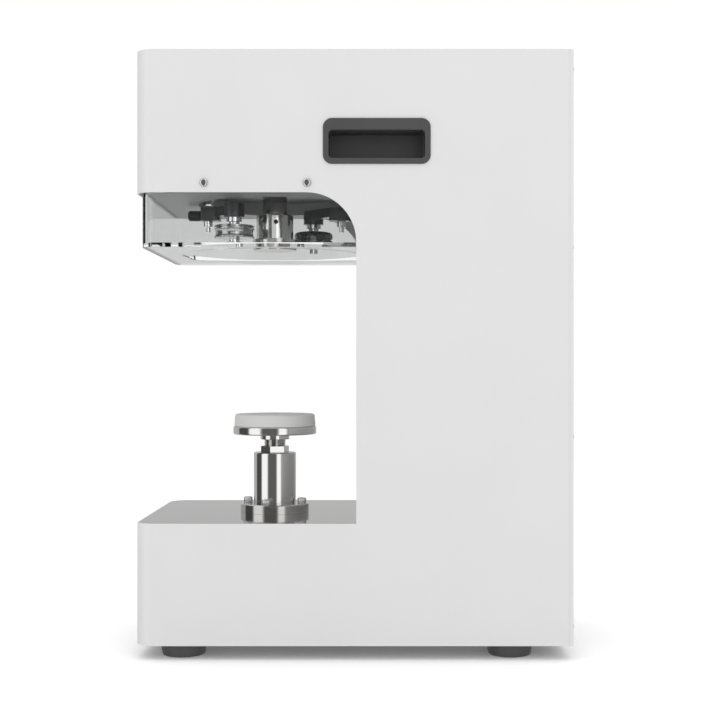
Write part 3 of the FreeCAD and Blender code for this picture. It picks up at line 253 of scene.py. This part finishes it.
def pattern_tree():
    """Geometry nodes that set one fixing on each point, facing out and turned at random."""
    tree = bpy.data.node_groups.new("fixing_pattern", "GeometryNodeTree")
    for title, kind in (("Places", "NodeSocketGeometry"), ("Fixing", "NodeSocketObject"),
                        ("Material", "NodeSocketMaterial"), ("Scale", "NodeSocketFloat"),
                        ("Most Turn", "NodeSocketFloat")):
        tree.interface.new_socket(title, in_out="INPUT", socket_type=kind)
    tree.interface.new_socket("Fixings", in_out="OUTPUT", socket_type="NodeSocketGeometry")
    entry = tree.nodes.new("NodeGroupInput")
    result = tree.nodes.new("NodeGroupOutput")
    facing = tree.nodes.new("GeometryNodeInputNamedAttribute")
    facing.data_type = "FLOAT_VECTOR"
    facing.inputs["Name"].default_value = "facing"
    align = tree.nodes.new("FunctionNodeAlignRotationToVector")
    turn = tree.nodes.new("FunctionNodeRandomValue")
    turn.inputs["Seed"].default_value = 7
    spin = tree.nodes.new("FunctionNodeAxisAngleToRotation")
    both = tree.nodes.new("FunctionNodeRotateRotation")
    both.rotation_space = "LOCAL"
    source = tree.nodes.new("GeometryNodeObjectInfo")
    put = tree.nodes.new("GeometryNodeInstanceOnPoints")
    real = tree.nodes.new("GeometryNodeRealizeInstances")
    paint = tree.nodes.new("GeometryNodeSetMaterial")
    tree.links.new(facing.outputs["Attribute"], align.inputs["Vector"])
    highest = [socket for socket in turn.inputs if socket.name == "Max" and socket.type == "VALUE"][0]
    amount = [socket for socket in turn.outputs if socket.type == "VALUE"][0]
    tree.links.new(entry.outputs["Most Turn"], highest)
    tree.links.new(amount, spin.inputs["Angle"])
    wire(tree, (align, "Rotation", both, "Rotation"), (spin, "Rotation", both, "Rotate By"),
         (entry, "Fixing", source, "Object"), (entry, "Places", put, "Points"),
         (source, "Geometry", put, "Instance"), (both, "Rotation", put, "Rotation"),
         (entry, "Scale", put, "Scale"), (put, "Instances", real, "Geometry"),
         (real, "Geometry", paint, "Geometry"), (entry, "Material", paint, "Material"),
         (paint, "Geometry", result, "Fixings"))
    return tree


def inputs_set(modifier, **values):
    """Set a geometry nodes modifier's inputs, each found by its socket's identifier."""
    for item in modifier.node_group.interface.items_tree:
        title = item.name.replace(" ", "_")
        if item.item_type == "SOCKET" and item.in_out == "INPUT" and title in values:
            modifier[item.identifier] = values[title]


fixing_pattern = pattern_tree()


def fixings(name, places, mesh, material, body="root", most_turn=1.0, scale=1.0):
    """Like fixings made from one mesh, set on places given as (point, facing)."""
    spots = bpy.data.meshes.new(name + "_places")
    spots.from_pydata([point for point, _ in places], [], [])
    facing = spots.attributes.new("facing", "FLOAT_VECTOR", "POINT")
    for index, (_, towards) in enumerate(places):
        facing.data[index].vector = towards
    piece = bpy.data.objects.new(name, spots)
    sample = bpy.data.objects.new(name + "_sample", mesh)
    for thing in (piece, sample):
        bpy.context.scene.collection.objects.link(thing)
    pattern = piece.modifiers.new("pattern", "NODES")
    pattern.node_group = fixing_pattern
    inputs_set(pattern, Fixing=sample, Material=material, Scale=scale, Most_Turn=most_turn)
    plain(piece)
    bpy.data.objects.remove(sample)
    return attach(piece, body)


def metal(name, dark, light, roughness, drift_scale=30.0, scratch_scale=260.0, depth=0.00001):
    """Bright metal with faint drift in tone and gloss and very fine marks."""
    material, tree, shader, tones, bump = finish(name, dark, light, roughness, 1.0)
    place = tree.nodes.new("ShaderNodeTexCoord")
    drift = noise(tree, place, "Object", drift_scale, 4.0, 0.6)
    marks = noise(tree, place, "Object", scratch_scale, 3.0, 0.6)
    rough = maths(tree, "MULTIPLY_ADD", (drift, "Fac"), roughness * 0.5, roughness * 0.75)
    wire(tree, (drift, "Fac", tones, "Factor"), (marks, "Fac", bump, "Height"),
         (rough, "Value", shader, "Roughness"))
    bump.inputs["Strength"].default_value = 0.2
    bump.inputs["Distance"].default_value = depth
    return material


chrome = metal("bright_chrome", (0.62, 0.62, 0.63), (0.72, 0.72, 0.73), 0.07)
SCREW_RADIUS = 0.0036
SCREW_SOCKET = 0.0013
pan_screw = lofted("pan_screw", [
    ("round", SCREW_RADIUS, 0), ("round", SCREW_RADIUS, 0.0004), ("round", SCREW_RADIUS * 0.9, 0.0013),
    ("round", SCREW_RADIUS * 0.62, 0.0018), ("hex", SCREW_SOCKET, 0.0019), ("hex", SCREW_SOCKET, 0.0008)], 24)
back_low, back_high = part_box("rear_panel")
EDGE_SETBACK = 0.012
back_places = []
for y in (back_low.y + EDGE_SETBACK, back_high.y - EDGE_SETBACK):
    for share in (0.03, 0.35, 0.67, 0.97):
        z = back_low.z + share * (back_high.z - back_low.z)
        back_places.append(((back_high.x, y, z), (1, 0, 0)))
fixings("back_screws", back_places, pan_screw, chrome)

# Base pan and feet. The pan is a folded sheet that closes the casing from below. Four moulded rubber
# feet stand under it, each with a screw and washer sunk in the recess of its sole.
pan_grey = pebbled("pan_grey_coat", (0.17, 0.17, 0.175), (0.20, 0.20, 0.205), 0.5, 800.0, 0.00005)
dressed(eased("base_pan", 0.0004), pan_grey)
foot_rubber = pebbled("foot_rubber", (0.055, 0.055, 0.056), (0.085, 0.085, 0.086), 0.62, 1100.0,
                      0.00008, 25.0, 0.12)
for index, (low, high) in enumerate(solids("feet")):
    radius = (high.x - low.x) / 2
    height = high.z - low.z
    middle = Vector(((low.x + high.x) / 2, (low.y + high.y) / 2, low.z))
    foot = bpy.data.objects.new(f"foot_{index + 1}", lofted(f"foot_{index + 1}", [
        ("round", radius * 0.34, height * 0.55), ("round", radius * 0.34, 0.0008),
        ("round", radius * 0.37, 0),
        ("round", radius * 0.86, 0), ("round", radius * 0.9, 0.0006), ("round", radius * 0.94, height * 0.3),
        ("round", radius * 0.985, height * 0.82), ("round", radius, height * 0.87),
        ("round", radius, height * 0.96), ("round", radius * 0.98, height)], 96))
    foot.data.transform(Matrix.Translation(middle))
    bpy.context.scene.collection.objects.link(foot)
    dressed(stand_in(foot, "feet"), foot_rubber)
sole_places = [(((low.x + high.x) / 2, (low.y + high.y) / 2, low.z + (high.z - low.z) * 0.55), (0, 0, -1))
               for low, high in solids("feet")]
fixings("sole_screws", sole_places, pan_screw, chrome, scale=1.4)

# Deck. A stainless plate closes the top of the base under the can. It is polished with a fine grain
# that runs from front to back, and mirrors the lifter that rises through it. Its tone, darker than the
# other steel, is partly the plate's own and partly painted shade from the head above it.


def grained(name, dark, light, roughness, stretch, depth=0.00001, scale=1.0, spread=0.35):
    """Bright metal whose polishing grain is stretched along the axes given in stretch."""
    material, tree, shader, tones, bump = finish(name, dark, light, roughness, 1.0)
    place = tree.nodes.new("ShaderNodeTexCoord")
    drawn = tree.nodes.new("ShaderNodeMapping")
    drawn.inputs["Scale"].default_value = stretch
    wire(tree, (place, "Object", drawn, "Vector"))
    grain = noise(tree, drawn, "Vector", scale, 4.0, 0.7)
    drift = noise(tree, place, "Object", 14.0, 3.0)
    rough = maths(tree, "MULTIPLY_ADD", (grain, "Fac"), roughness * spread, roughness * (1 - spread / 2))
    wire(tree, (drift, "Fac", tones, "Factor"), (grain, "Fac", bump, "Height"),
         (rough, "Value", shader, "Roughness"))
    bump.inputs["Strength"].default_value = 0.25
    bump.inputs["Distance"].default_value = depth
    return material


deck_steel_with_painted_shade = grained("polished_deck", (0.36, 0.36, 0.35), (0.40, 0.40, 0.39), 0.07, (30.0, 1600.0, 1600.0),
                     0.000006)
dressed(eased("deck_plate", 0.0004), deck_steel_with_painted_shade)

# Frame inside the casing. Two side plates carry the head plate, the bridge that holds the fixed centre
# shaft, and the motor's bracket. All are cut from plate and coated grey.
frame_grey = pebbled("frame_grey_coat", (0.15, 0.155, 0.16), (0.19, 0.195, 0.20), 0.5, 700.0, 0.00006)
for node in ("frame_plate_right", "frame_plate_left", "head_plate", "shaft_bridge", "motor_bracket"):
    dressed(node, frame_grey)

# Turret drive. The spindle housing is an iron casting with two bearings in it; the pulleys are turned
# from alloy and the belts are black rubber. All of it is shut inside the head.
cast_grey = pebbled("cast_grey", (0.045, 0.047, 0.05), (0.075, 0.077, 0.08), 0.6, 350.0, 0.00025, 20.0, 0.15)
motor_grey = pebbled("motor_grey", (0.05, 0.055, 0.06), (0.08, 0.085, 0.09), 0.45, 500.0, 0.0001, 15.0, 0.1)
ground_steel = metal("ground_steel", (0.50, 0.50, 0.50), (0.60, 0.60, 0.60), 0.18)
alloy = metal("turned_alloy", (0.52, 0.52, 0.54), (0.62, 0.62, 0.64), 0.28, 30.0, 500.0, 0.00002)
belt_rubber = pebbled("belt_rubber", (0.02, 0.02, 0.02), (0.035, 0.035, 0.035), 0.65, 1500.0, 0.00006)
dark_steel = metal("dark_steel", (0.055, 0.055, 0.058), (0.09, 0.09, 0.095), 0.3, 40.0, 420.0, 0.00003)
for node, material in (("spindle_housing", cast_grey), ("lift_actuator", cast_grey),
                       ("drive_motor", motor_grey),
                       ("spindle_bearings", ground_steel), ("turret_spindle", ground_steel),
                       ("motor_shaft", ground_steel), ("follower_roller_1", ground_steel),
                       ("follower_roller_2", ground_steel), ("turret_pulley", alloy), ("cam_pulley", alloy),
                       ("motor_pulleys", alloy), ("drive_belts", belt_rubber), ("rocker_arm_1", dark_steel),
                       ("rocker_arm_2", dark_steel), ("cam_sleeve", dark_steel)):
    dressed(node, material)

# Head underside. A coated sheet closes the head from below, with a rolled collar that shrouds the
# turret. Its mid grey, far darker than the casing's coat, is painted shade for the underside in the head's
# own shadow.
under_painted_shade = pebbled("underside_grey_coat", (0.165, 0.165, 0.165), (0.185, 0.185, 0.185), 0.45, 800.0,
                     0.00005)
dressed(eased("head_underside", 0.0005, sharp=40), under_painted_shade)

# Carrying handles. Each is a black moulded cup let into the side, with a wide rim outside. Rim and cup
# share one black plastic with a fine grain that softens its shine.
handle_black = pebbled("handle_black_plastic", (0.050, 0.050, 0.050), (0.062, 0.062, 0.062), 0.42, 1500.0,
                       0.00007, 30.0, 0.1)
for node in ("handle_right", "handle_left"):
    dressed(eased(node, 0.0012, 3), handle_black)

# Start button. A green push button in a bright turned bezel on the front of the head.
button_green = pebbled("button_green", (0.012, 0.16, 0.05), (0.016, 0.19, 0.06), 0.25, 900.0, 0.00002)
dressed(eased("button_bezel", 0.0005), chrome)
dressed(eased("start_button", 0.0006), button_green)

# Power module on the back. One black moulding holds the inlet's three flat pins and the rocker switch.
# The switch has no marks; its gloss sets it off from the fine grained moulding.
module_black = pebbled("module_black_plastic", (0.016, 0.016, 0.016), (0.024, 0.024, 0.024), 0.38, 1300.0,
                       0.00005)
rocker_gloss = pebbled("rocker_gloss_black", (0.012, 0.012, 0.012), (0.016, 0.016, 0.016), 0.16, 600.0,
                       0.00001)
pin_metal = metal("inlet_pin_metal", (0.55, 0.54, 0.50), (0.64, 0.63, 0.58), 0.2)
module = dressed(eased("power_module", 0.0004), module_black)
module.data.materials.append(pin_metal)
module_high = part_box("power_module")[1]
switch_low, switch_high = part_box("switch_rocker")
PIN_DEPTH = 0.0152
PIN_WIDTH = 0.0015
PIN_SPACING = 0.007
for face in module.data.polygons:
    pin_side = face.center.y < switch_low.y - 0.006
    inside = module_high.x - PIN_DEPTH < face.center.x < module_high.x - 0.0025
    near = any(abs(face.center.y + (switch_low.y + switch_high.y) / 2 - y) < PIN_WIDTH
               for y in (-PIN_SPACING, 0.0, PIN_SPACING))
    if pin_side and inside and near and abs(face.center.z - (switch_low.z + switch_high.z) / 2) < 0.006:
        face.material_index = 1
dressed(eased("switch_rocker", 0.0006), rocker_gloss)

# Chuck and centre shaft. The chuck is turned steel on a fixed shaft that hangs through the turret; its
# lip fits the can's lid. The turning marks run round it, and a set screw locks it to the shaft.
turning, entry, result = shader_group(
    "turning_marks", [("Axis X", 0.0), ("Axis Y", 0.0), ("Marks Scale", 1400.0)], ["Marks"])
place = turning.nodes.new("ShaderNodeTexCoord")
parts = turning.nodes.new("ShaderNodeSeparateXYZ")
wire(turning, (place, "Object", parts, "Vector"))
across = maths(turning, "SUBTRACT", (parts, "X"), (entry, "Axis X"))
along = maths(turning, "SUBTRACT", (parts, "Y"), (entry, "Axis Y"))
squares = maths(turning, "ADD", (maths(turning, "MULTIPLY", (across, "Value"), (across, "Value")), "Value"),
                (maths(turning, "MULTIPLY", (along, "Value"), (along, "Value")), "Value"))
reach = maths(turning, "SQRT", (squares, "Value"))
ring_place = turning.nodes.new("ShaderNodeCombineXYZ")
wire(turning, (reach, "Value", ring_place, "X"), (parts, "Z", ring_place, "Y"))
rings = noise(turning, ring_place, "Vector", (entry, "Marks Scale"), 3.0, 0.6)
wire(turning, (rings, "Fac", result, "Marks"))


def turned_steel(name, middle, dark, light, roughness, marks_scale=1400.0, depth=0.000012):
    """Turned and polished steel: fine rings about an upright axis through the middle."""
    material, tree, shader, tones, bump = finish(name, dark, light, roughness, 1.0)
    marks = tree.nodes.new("ShaderNodeGroup")
    marks.node_tree = turning
    marks.inputs["Axis X"].default_value = middle[0]
    marks.inputs["Axis Y"].default_value = middle[1]
    marks.inputs["Marks Scale"].default_value = marks_scale
    place = tree.nodes.new("ShaderNodeTexCoord")
    drift = noise(tree, place, "Object", 18.0, 3.0)
    rough = maths(tree, "MULTIPLY_ADD", (marks, "Marks"), roughness * 0.5, roughness * 0.75)
    wire(tree, (drift, "Fac", tones, "Factor"), (marks, "Marks", bump, "Height"),
         (rough, "Value", shader, "Roughness"))
    bump.inputs["Strength"].default_value = 0.25
    bump.inputs["Distance"].default_value = depth
    return material


chuck_low, chuck_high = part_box("seaming_chuck")
AXIS = ((chuck_low.x + chuck_high.x) / 2, (chuck_low.y + chuck_high.y) / 2)
polished_steel = turned_steel("polished_steel", AXIS, (0.52, 0.515, 0.50), (0.60, 0.595, 0.575), 0.12)
black_oxide = metal("black_oxide", (0.012, 0.012, 0.013), (0.022, 0.022, 0.024), 0.35, 60.0, 600.0, 0.00003)
dressed(eased("seaming_chuck", 0.0004), polished_steel)
dressed(eased("centre_shaft", 0.0003), polished_steel)
dressed(eased("chuck_set_screw", 0.0003), black_oxide)

# Turret disc. A turned steel disc under the head carries both levers on bosses and turns with the
# spindle. It keeps fine turning rings, and its near-black tone is painted shade for the recess in the head
# where it sits.
disc_steel_painted_shade = turned_steel("turret_disc_steel", AXIS, (0.075, 0.075, 0.075), (0.11, 0.11, 0.11), 0.32, 900.0)
dressed(eased("turret_disc", 0.0006), disc_steel_painted_shade)

# Levers. Each is a blackened steel arm clamped on its pivot pin, with a thicker block at the pivot and
# an eye that is slit and clamps the roll's spindle. The arms' edges are broken by a small chamfer.
for node in ("lever_1", "lever_2"):
    dressed(eased(node, 0.0007), dark_steel)

# Lever pivots. A bright pin runs through the turret; under the lever it ends in a bolt head with a
# narrower ground tip. A washer and a thin nut on it space the lever from the turret's boss.
lever_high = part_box("lever_1")[1]
disc_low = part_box("turret_disc")[0]
WASHER_RADIUS = 0.0068
WASHER_THICKNESS = 0.0016
NUT_FLATS = 0.0046
SPACER_GAP = 0.0002
spacer_height = disc_low.z - lever_high.z - SPACER_GAP
pivot_nut = lofted("pivot_nut", [
    ("round", WASHER_RADIUS * 0.96, 0.0001), ("round", WASHER_RADIUS, 0.0003),
    ("round", WASHER_RADIUS, WASHER_THICKNESS),
    ("hex", NUT_FLATS * 0.96, WASHER_THICKNESS), ("hex", NUT_FLATS, WASHER_THICKNESS + 0.0004),
    ("hex", NUT_FLATS, spacer_height - 0.0004), ("hex", NUT_FLATS * 0.96, spacer_height)], 48)
for number in ("1", "2"):
    low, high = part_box("lever_pivot_" + number)
    dressed(eased("lever_pivot_" + number, 0.0005), chrome)
    spot = ((low.x + high.x) / 2, (low.y + high.y) / 2, lever_high.z)
    fixings("pivot_nut_" + number, [(spot, (0, 0, 1))], pivot_nut, chrome, "lever_" + number)

# Adjusting screws. Black screws in the levers' tails set how far in each roll swings. Their rounded
# ends point outwards.
for node in ("adjusting_screw_1", "adjusting_screw_2"):
    dressed(eased(node, 0.0012, 3), black_oxide)

# Seaming rolls. The first operation roll has a deep narrow groove and is ground bright; the second has a
# flat one under a domed top, and its darker tone is painted shade, for that roll stands in shadow. Each runs
# on a bright spindle with a nut and washer below.
ROLL_PROFILES = {
    "1": ((0.0, 0.955), (0.0006, 0.99), (0.0016, 0.995), (0.0026, 0.955), (0.0033, 0.925), (0.0068, 0.92),
          (0.0090, 0.945), (0.0096, 0.99), (0.0108, 0.995), (0.0112, 0.915), (0.0118, 0.915), (0.0122, 0.99),
          (0.0134, 0.99), (0.0140, 0.95)),
    "2": ((0.0, 0.955), (0.0006, 0.99), (0.0038, 0.995), (0.0043, 0.90), (0.0054, 0.90), (0.0060, 0.99),
          (0.0100, 0.995), (0.0120, 0.97), (0.0134, 0.91), (0.0142, 0.78)),
}
ROLL_TONES_WITH_PAINTED_SHADE = {"1": 0.42, "2": 0.13}
FLOAT = 0.0042
for number, profile in ROLL_PROFILES.items():
    low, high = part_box("seaming_roll_" + number)
    middle = Vector(((low.x + high.x) / 2, (low.y + high.y) / 2, low.z + FLOAT))
    radius = (high.x - low.x) / 2
    roll = bpy.data.objects.new("seaming_roll_" + number + "_ground", lofted("ground_roll_" + number, [
        ("round", radius * share, height) for height, share in profile], 128))
    roll.data.transform(Matrix.Translation(middle))
    bpy.context.scene.collection.objects.link(roll)
    # The second roll's low tone is painted shade; the first roll's tone is its own ground steel.
    tone = ROLL_TONES_WITH_PAINTED_SHADE[number]
    roll_steel = turned_steel("roll_steel_" + number, middle, (tone * 0.9,) * 3,
                              (tone, tone, tone * 0.98), 0.14, 1800.0)
    dressed(stand_in(roll, "seaming_roll_" + number), roll_steel)
    dressed(eased("roll_spindle_" + number, 0.0003), chrome)

# Guard. A clear acrylic tray screwed inside the head keeps fingers off the turret. Its sawn and
# flame-polished edges are rounded, so they catch the light as bright lines.
acrylic = bpy.data.materials.new("clear_acrylic")
acrylic.use_nodes = True
tree = acrylic.node_tree
shader = tree.nodes["Principled BSDF"]
shader.inputs["Base Color"].default_value = (0.94, 0.955, 0.95, 1)
shader.inputs["Roughness"].default_value = 0.03
shader.inputs["IOR"].default_value = 1.3
shader.inputs["Transmission Weight"].default_value = 1.0
place = tree.nodes.new("ShaderNodeTexCoord")
ripple = noise(tree, place, "Object", 12.0, 1.0)
faint = noise(tree, place, "Object", 400.0, 2.0)
gloss = maths(tree, "MULTIPLY_ADD", (faint, "Fac"), 0.04, 0.01)
bump = tree.nodes.new("ShaderNodeBump")
bump.inputs["Strength"].default_value = 0.05
bump.inputs["Distance"].default_value = 0.0001
wire(tree, (ripple, "Fac", bump, "Height"), (bump, "Normal", shader, "Normal"),
     (gloss, "Value", shader, "Roughness"))
dressed(eased("guard", 0.0009, 3), acrylic)

# Guard screws. Bright button head screws hold the guard through the side panels, two on each side. Each
# has a low dome and a hexagon socket.
screw_boxes = solids("guard_screws")
head_radius = (screw_boxes[0][1].x - screw_boxes[0][0].x) / 2
shell_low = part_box("side_panel_right")[0]
head_height = shell_low.y - screw_boxes[0][0].y
button_screw = lofted("button_screw", [
    ("round", head_radius * 0.55, -0.0035), ("round", head_radius * 0.55, 0), ("round", head_radius, 0),
    ("round", head_radius, head_height * 0.22), ("round", head_radius * 0.93, head_height * 0.52),
    ("round", head_radius * 0.78, head_height * 0.82), ("round", head_radius * 0.6, head_height),
    ("hex", head_radius * 0.36, head_height), ("hex", head_radius * 0.36, head_height * 0.2)], 48)
button_places = []
for low, high in screw_boxes:
    side = 1 if low.y > 0 else -1
    face = high.y - head_height if side > 0 else low.y + head_height
    button_places.append((((low.x + high.x) / 2, face, (low.z + high.z) / 2), (0, side, 0)))
buttons = fixings("button_screws", button_places, button_screw, chrome)
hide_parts("guard_screws")

# Lifter guide. A flanged bush in the deck guides the lifting column. Four cap screws with knurled heads
# hold it down; one pattern tree sets them round the flange.
dressed(eased("lifter_guide", 0.0005), polished_steel)
cap_boxes = solids("guide_screws")
cap_radius = (cap_boxes[0][1].x - cap_boxes[0][0].x) / 2
flange_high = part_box("lifter_guide")[1]
cap_height = cap_boxes[0][1].z - flange_high.z
cap_screw = lofted("cap_screw", [
    ("round", cap_radius * 0.55, -0.004), ("round", cap_radius * 0.55, 0), ("round", cap_radius * 0.94, 0),
    ("knurl", cap_radius, cap_height * 0.08), ("knurl", cap_radius, cap_height * 0.82),
    ("round", cap_radius * 0.93, cap_height * 0.92), ("round", cap_radius * 0.8, cap_height),
    ("hex", cap_radius * 0.5, cap_height), ("hex", cap_radius * 0.46, cap_height * 0.9),
    ("hex", cap_radius * 0.46, cap_height * 0.35)], 144)
cap_places = [(((low.x + high.x) / 2, (low.y + high.y) / 2, flange_high.z), (0, 0, 1))
              for low, high in cap_boxes]
caps = fixings("cap_screws", cap_places, cap_screw, chrome)
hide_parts("guide_screws")

# Lifting column, lock nut and threaded stud. The column is hard chromed bar; the stud screws into it to
# set the platform's height, and a thin nut locks it. The stud's neck shows its rolled thread.
column_steel = turned_steel("column_steel", AXIS, (0.57, 0.565, 0.55), (0.64, 0.635, 0.615), 0.075, 1200.0,
                            0.000006)
dressed(eased("lifter_column", 0.0012, 3), column_steel)
dressed(eased("lock_nut", 0.0006), column_steel)
dressed(eased("platform_stud", 0.0004), column_steel)
dressed(eased("platform_plate", 0.0005, 3), column_steel)


def threaded(name, radius, low, high, pitch, depth, around=72, steps=8):
    """Closed sleeve between two heights whose wall is a screw thread with rounded crests."""
    solid = bmesh.new()
    loops = []
    rows = round((high - low) / pitch * steps)
    for row in range(rows + 1):
        height = low + (high - low) * row / rows
        loop = []
        for index in range(around):
            turn = index / around
            crest = 0.5 + 0.5 * math.cos(2 * math.pi * ((height - low) / pitch - turn))
            reach = radius + depth * crest
            angle = 2 * math.pi * turn
            loop.append(solid.verts.new((reach * math.cos(angle), reach * math.sin(angle), height)))
        loops.append(loop)
    for lower, upper in zip(loops, loops[1:]):
        for index in range(around):
            following = (index + 1) % around
            solid.faces.new((lower[index], lower[following], upper[following], upper[index]))
    solid.faces.new(loops[0][::-1])
    solid.faces.new(loops[-1])
    mesh = bpy.data.meshes.new(name)
    solid.to_mesh(mesh)
    solid.free()
    mesh.shade_smooth()
    mesh.set_sharp_from_angle(angle=math.radians(50))
    return mesh


THREAD_PITCH = 0.0015
THREAD_DEPTH = 0.0008
THREAD_GAP = 0.0001
nut_low, nut_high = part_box("lock_nut")
stud = nodes["platform_stud"].data
neck_radius = min(math.hypot(spot.co.x - AXIS[0], spot.co.y - AXIS[1]) for spot in stud.vertices
                  if spot.co.z < nut_low.z and math.hypot(spot.co.x - AXIS[0], spot.co.y - AXIS[1]) > 0.001)
collar_low = min(spot.co.z for spot in stud.vertices
                 if math.hypot(spot.co.x - AXIS[0], spot.co.y - AXIS[1]) > neck_radius * 1.1)
thread = bpy.data.objects.new("stud_thread", threaded(
    "stud_thread", neck_radius, nut_high.z, collar_low - THREAD_GAP, THREAD_PITCH, THREAD_DEPTH))
thread.data.transform(Matrix.Translation((AXIS[0], AXIS[1], 0)))
bpy.context.scene.collection.objects.link(thread)
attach(thread, "platform")
dressed(thread, column_steel)

# Platform pad. A moulded plastic disc that the can stands on, off-white with a fine matt grain and a
# softly rounded rim.
pad_white = pebbled("pad_off_white", (0.51, 0.51, 0.50), (0.56, 0.56, 0.55), 0.55, 1200.0, 0.00004)
dressed(eased("platform_pad", 0.0008, 3), pad_white)

# Studio. The machine stands on a plain pale floor in soft, even light. Two tall light panels and dark
# gaps between them give the polished steel its upright bright and dark bands.
view = bpy.data.cameras.new("view")
view.sensor_width = 36.0
view.lens = 65.18
view.shift_x = -0.04455
view.shift_y = 0.02475
view.clip_start = 0.05
camera = bpy.data.objects.new("view", view)
camera.location = (0.0326, -1.4615, 0.305)
camera.rotation_euler = (math.radians(90), 0, 0)
bpy.context.scene.collection.objects.link(camera)
bpy.context.scene.camera = camera

FLOOR_HALF = 6.0
FLOOR_GLOW = 0.09
floor_mesh = bpy.data.meshes.new("studio_floor")
floor_mesh.from_pydata([(x, y, 0) for x, y in ((-FLOOR_HALF, -FLOOR_HALF), (FLOOR_HALF, -FLOOR_HALF),
                                               (FLOOR_HALF, FLOOR_HALF), (-FLOOR_HALF, FLOOR_HALF))],
                       [], [(0, 1, 2, 3)])
floor = bpy.data.objects.new("studio_floor", floor_mesh)
bpy.context.scene.collection.objects.link(floor)
floor.visible_glossy = False
floor_white = pebbled("floor_white", (0.90, 0.90, 0.90), (0.92, 0.92, 0.92), 0.9, 60.0, 0.0001, 1.0, 0.02)
floor_shader = floor_white.node_tree.nodes["Principled BSDF"]
floor_shader.inputs["Emission Color"].default_value = (1, 1, 1, 1)
floor_shader.inputs["Emission Strength"].default_value = FLOOR_GLOW
dressed(floor, floor_white)

BACKDROP = 1.02
BANDS = ((-70.0, -37.0, 1.5), (16.0, 37.0, 1.5), (-32.0, 12.0, 0.16), (-112.0, -74.0, 0.10),
         (41.0, 82.0, 0.40))
world = bpy.data.worlds.new("studio")
bpy.context.scene.world = world
world.use_nodes = True
tree = world.node_tree
tree.nodes.clear()
place = tree.nodes.new("ShaderNodeTexCoord")
parts = tree.nodes.new("ShaderNodeSeparateXYZ")
wire(tree, (place, "Generated", parts, "Vector"))
turned_away = maths(tree, "MULTIPLY", (parts, "Y"), -1.0)
bearing = maths(tree, "DEGREES", (maths(tree, "ARCTAN2", (parts, "X"), (turned_away, "Value")), "Value"))
SURROUND = 0.62
level = tree.nodes.new("ShaderNodeValue")
level.outputs["Value"].default_value = SURROUND
SOFTNESS = 3.0
for low, high, strength in BANDS:
    middle = (low + high) / 2
    off = maths(tree, "ABSOLUTE", (maths(tree, "SUBTRACT", (bearing, "Value"), middle), "Value"))
    inside = tree.nodes.new("ShaderNodeMapRange")
    inside.interpolation_type = "SMOOTHSTEP"
    inside.inputs["From Min"].default_value = (high - low) / 2 + SOFTNESS
    inside.inputs["From Max"].default_value = (high - low) / 2 - SOFTNESS
    wire(tree, (off, "Value", inside, "Value"))
    change = maths(tree, "SUBTRACT", strength, (level, "Value"))
    level = maths(tree, "MULTIPLY_ADD", (inside, "Result"), (change, "Value"), (level, "Value"))
overhead = tree.nodes.new("ShaderNodeMapRange")
overhead.interpolation_type = "SMOOTHSTEP"
overhead.inputs["From Min"].default_value = 0.55
overhead.inputs["From Max"].default_value = 0.85
wire(tree, (parts, "Z", overhead, "Value"))
ceiling = maths(tree, "SUBTRACT", 1.0, (level, "Value"))
upward = maths(tree, "MULTIPLY_ADD", (overhead, "Result"), (ceiling, "Value"), (level, "Value"))
rays = tree.nodes.new("ShaderNodeLightPath")
banded = tree.nodes.new("ShaderNodeBackground")
even = tree.nodes.new("ShaderNodeBackground")
even.inputs["Strength"].default_value = BACKDROP
choice = tree.nodes.new("ShaderNodeMixShader")
ending = tree.nodes.new("ShaderNodeOutputWorld")
for background in (banded, even):
    background.inputs["Color"].default_value = (1, 1, 1, 1)
wire(tree, (upward, "Value", banded, "Strength"), (rays, "Is Glossy Ray", choice, "Fac"),
     (even, "Background", choice, 1), (banded, "Background", choice, 2),
     (choice, "Shader", ending, "Surface"))


def light_panel(name, place, towards, width, height, power):
    """Soft area light that faces a point."""
    lamp = bpy.data.lights.new(name, "AREA")
    lamp.shape = "RECTANGLE"
    lamp.size = width
    lamp.size_y = height
    lamp.energy = power
    panel = bpy.data.objects.new(name, lamp)
    panel.location = place
    panel.rotation_euler = (Vector(towards) - Vector(place)).to_track_quat("-Z", "Y").to_euler()
    panel.visible_glossy = False
    panel.visible_camera = False
    bpy.context.scene.collection.objects.link(panel)


light_panel("overhead_light", (0.0, -0.4, 2.2), (0, 0, 0.2), 2.4, 2.4, 12.0)
light_panel("front_light", (0.2, -2.6, 1.2), (0, 0, 0.3), 2.0, 1.6, 9.0)
bpy.context.scene.view_settings.view_transform = "Standard"
bpy.context.scene.view_settings.look = "None"
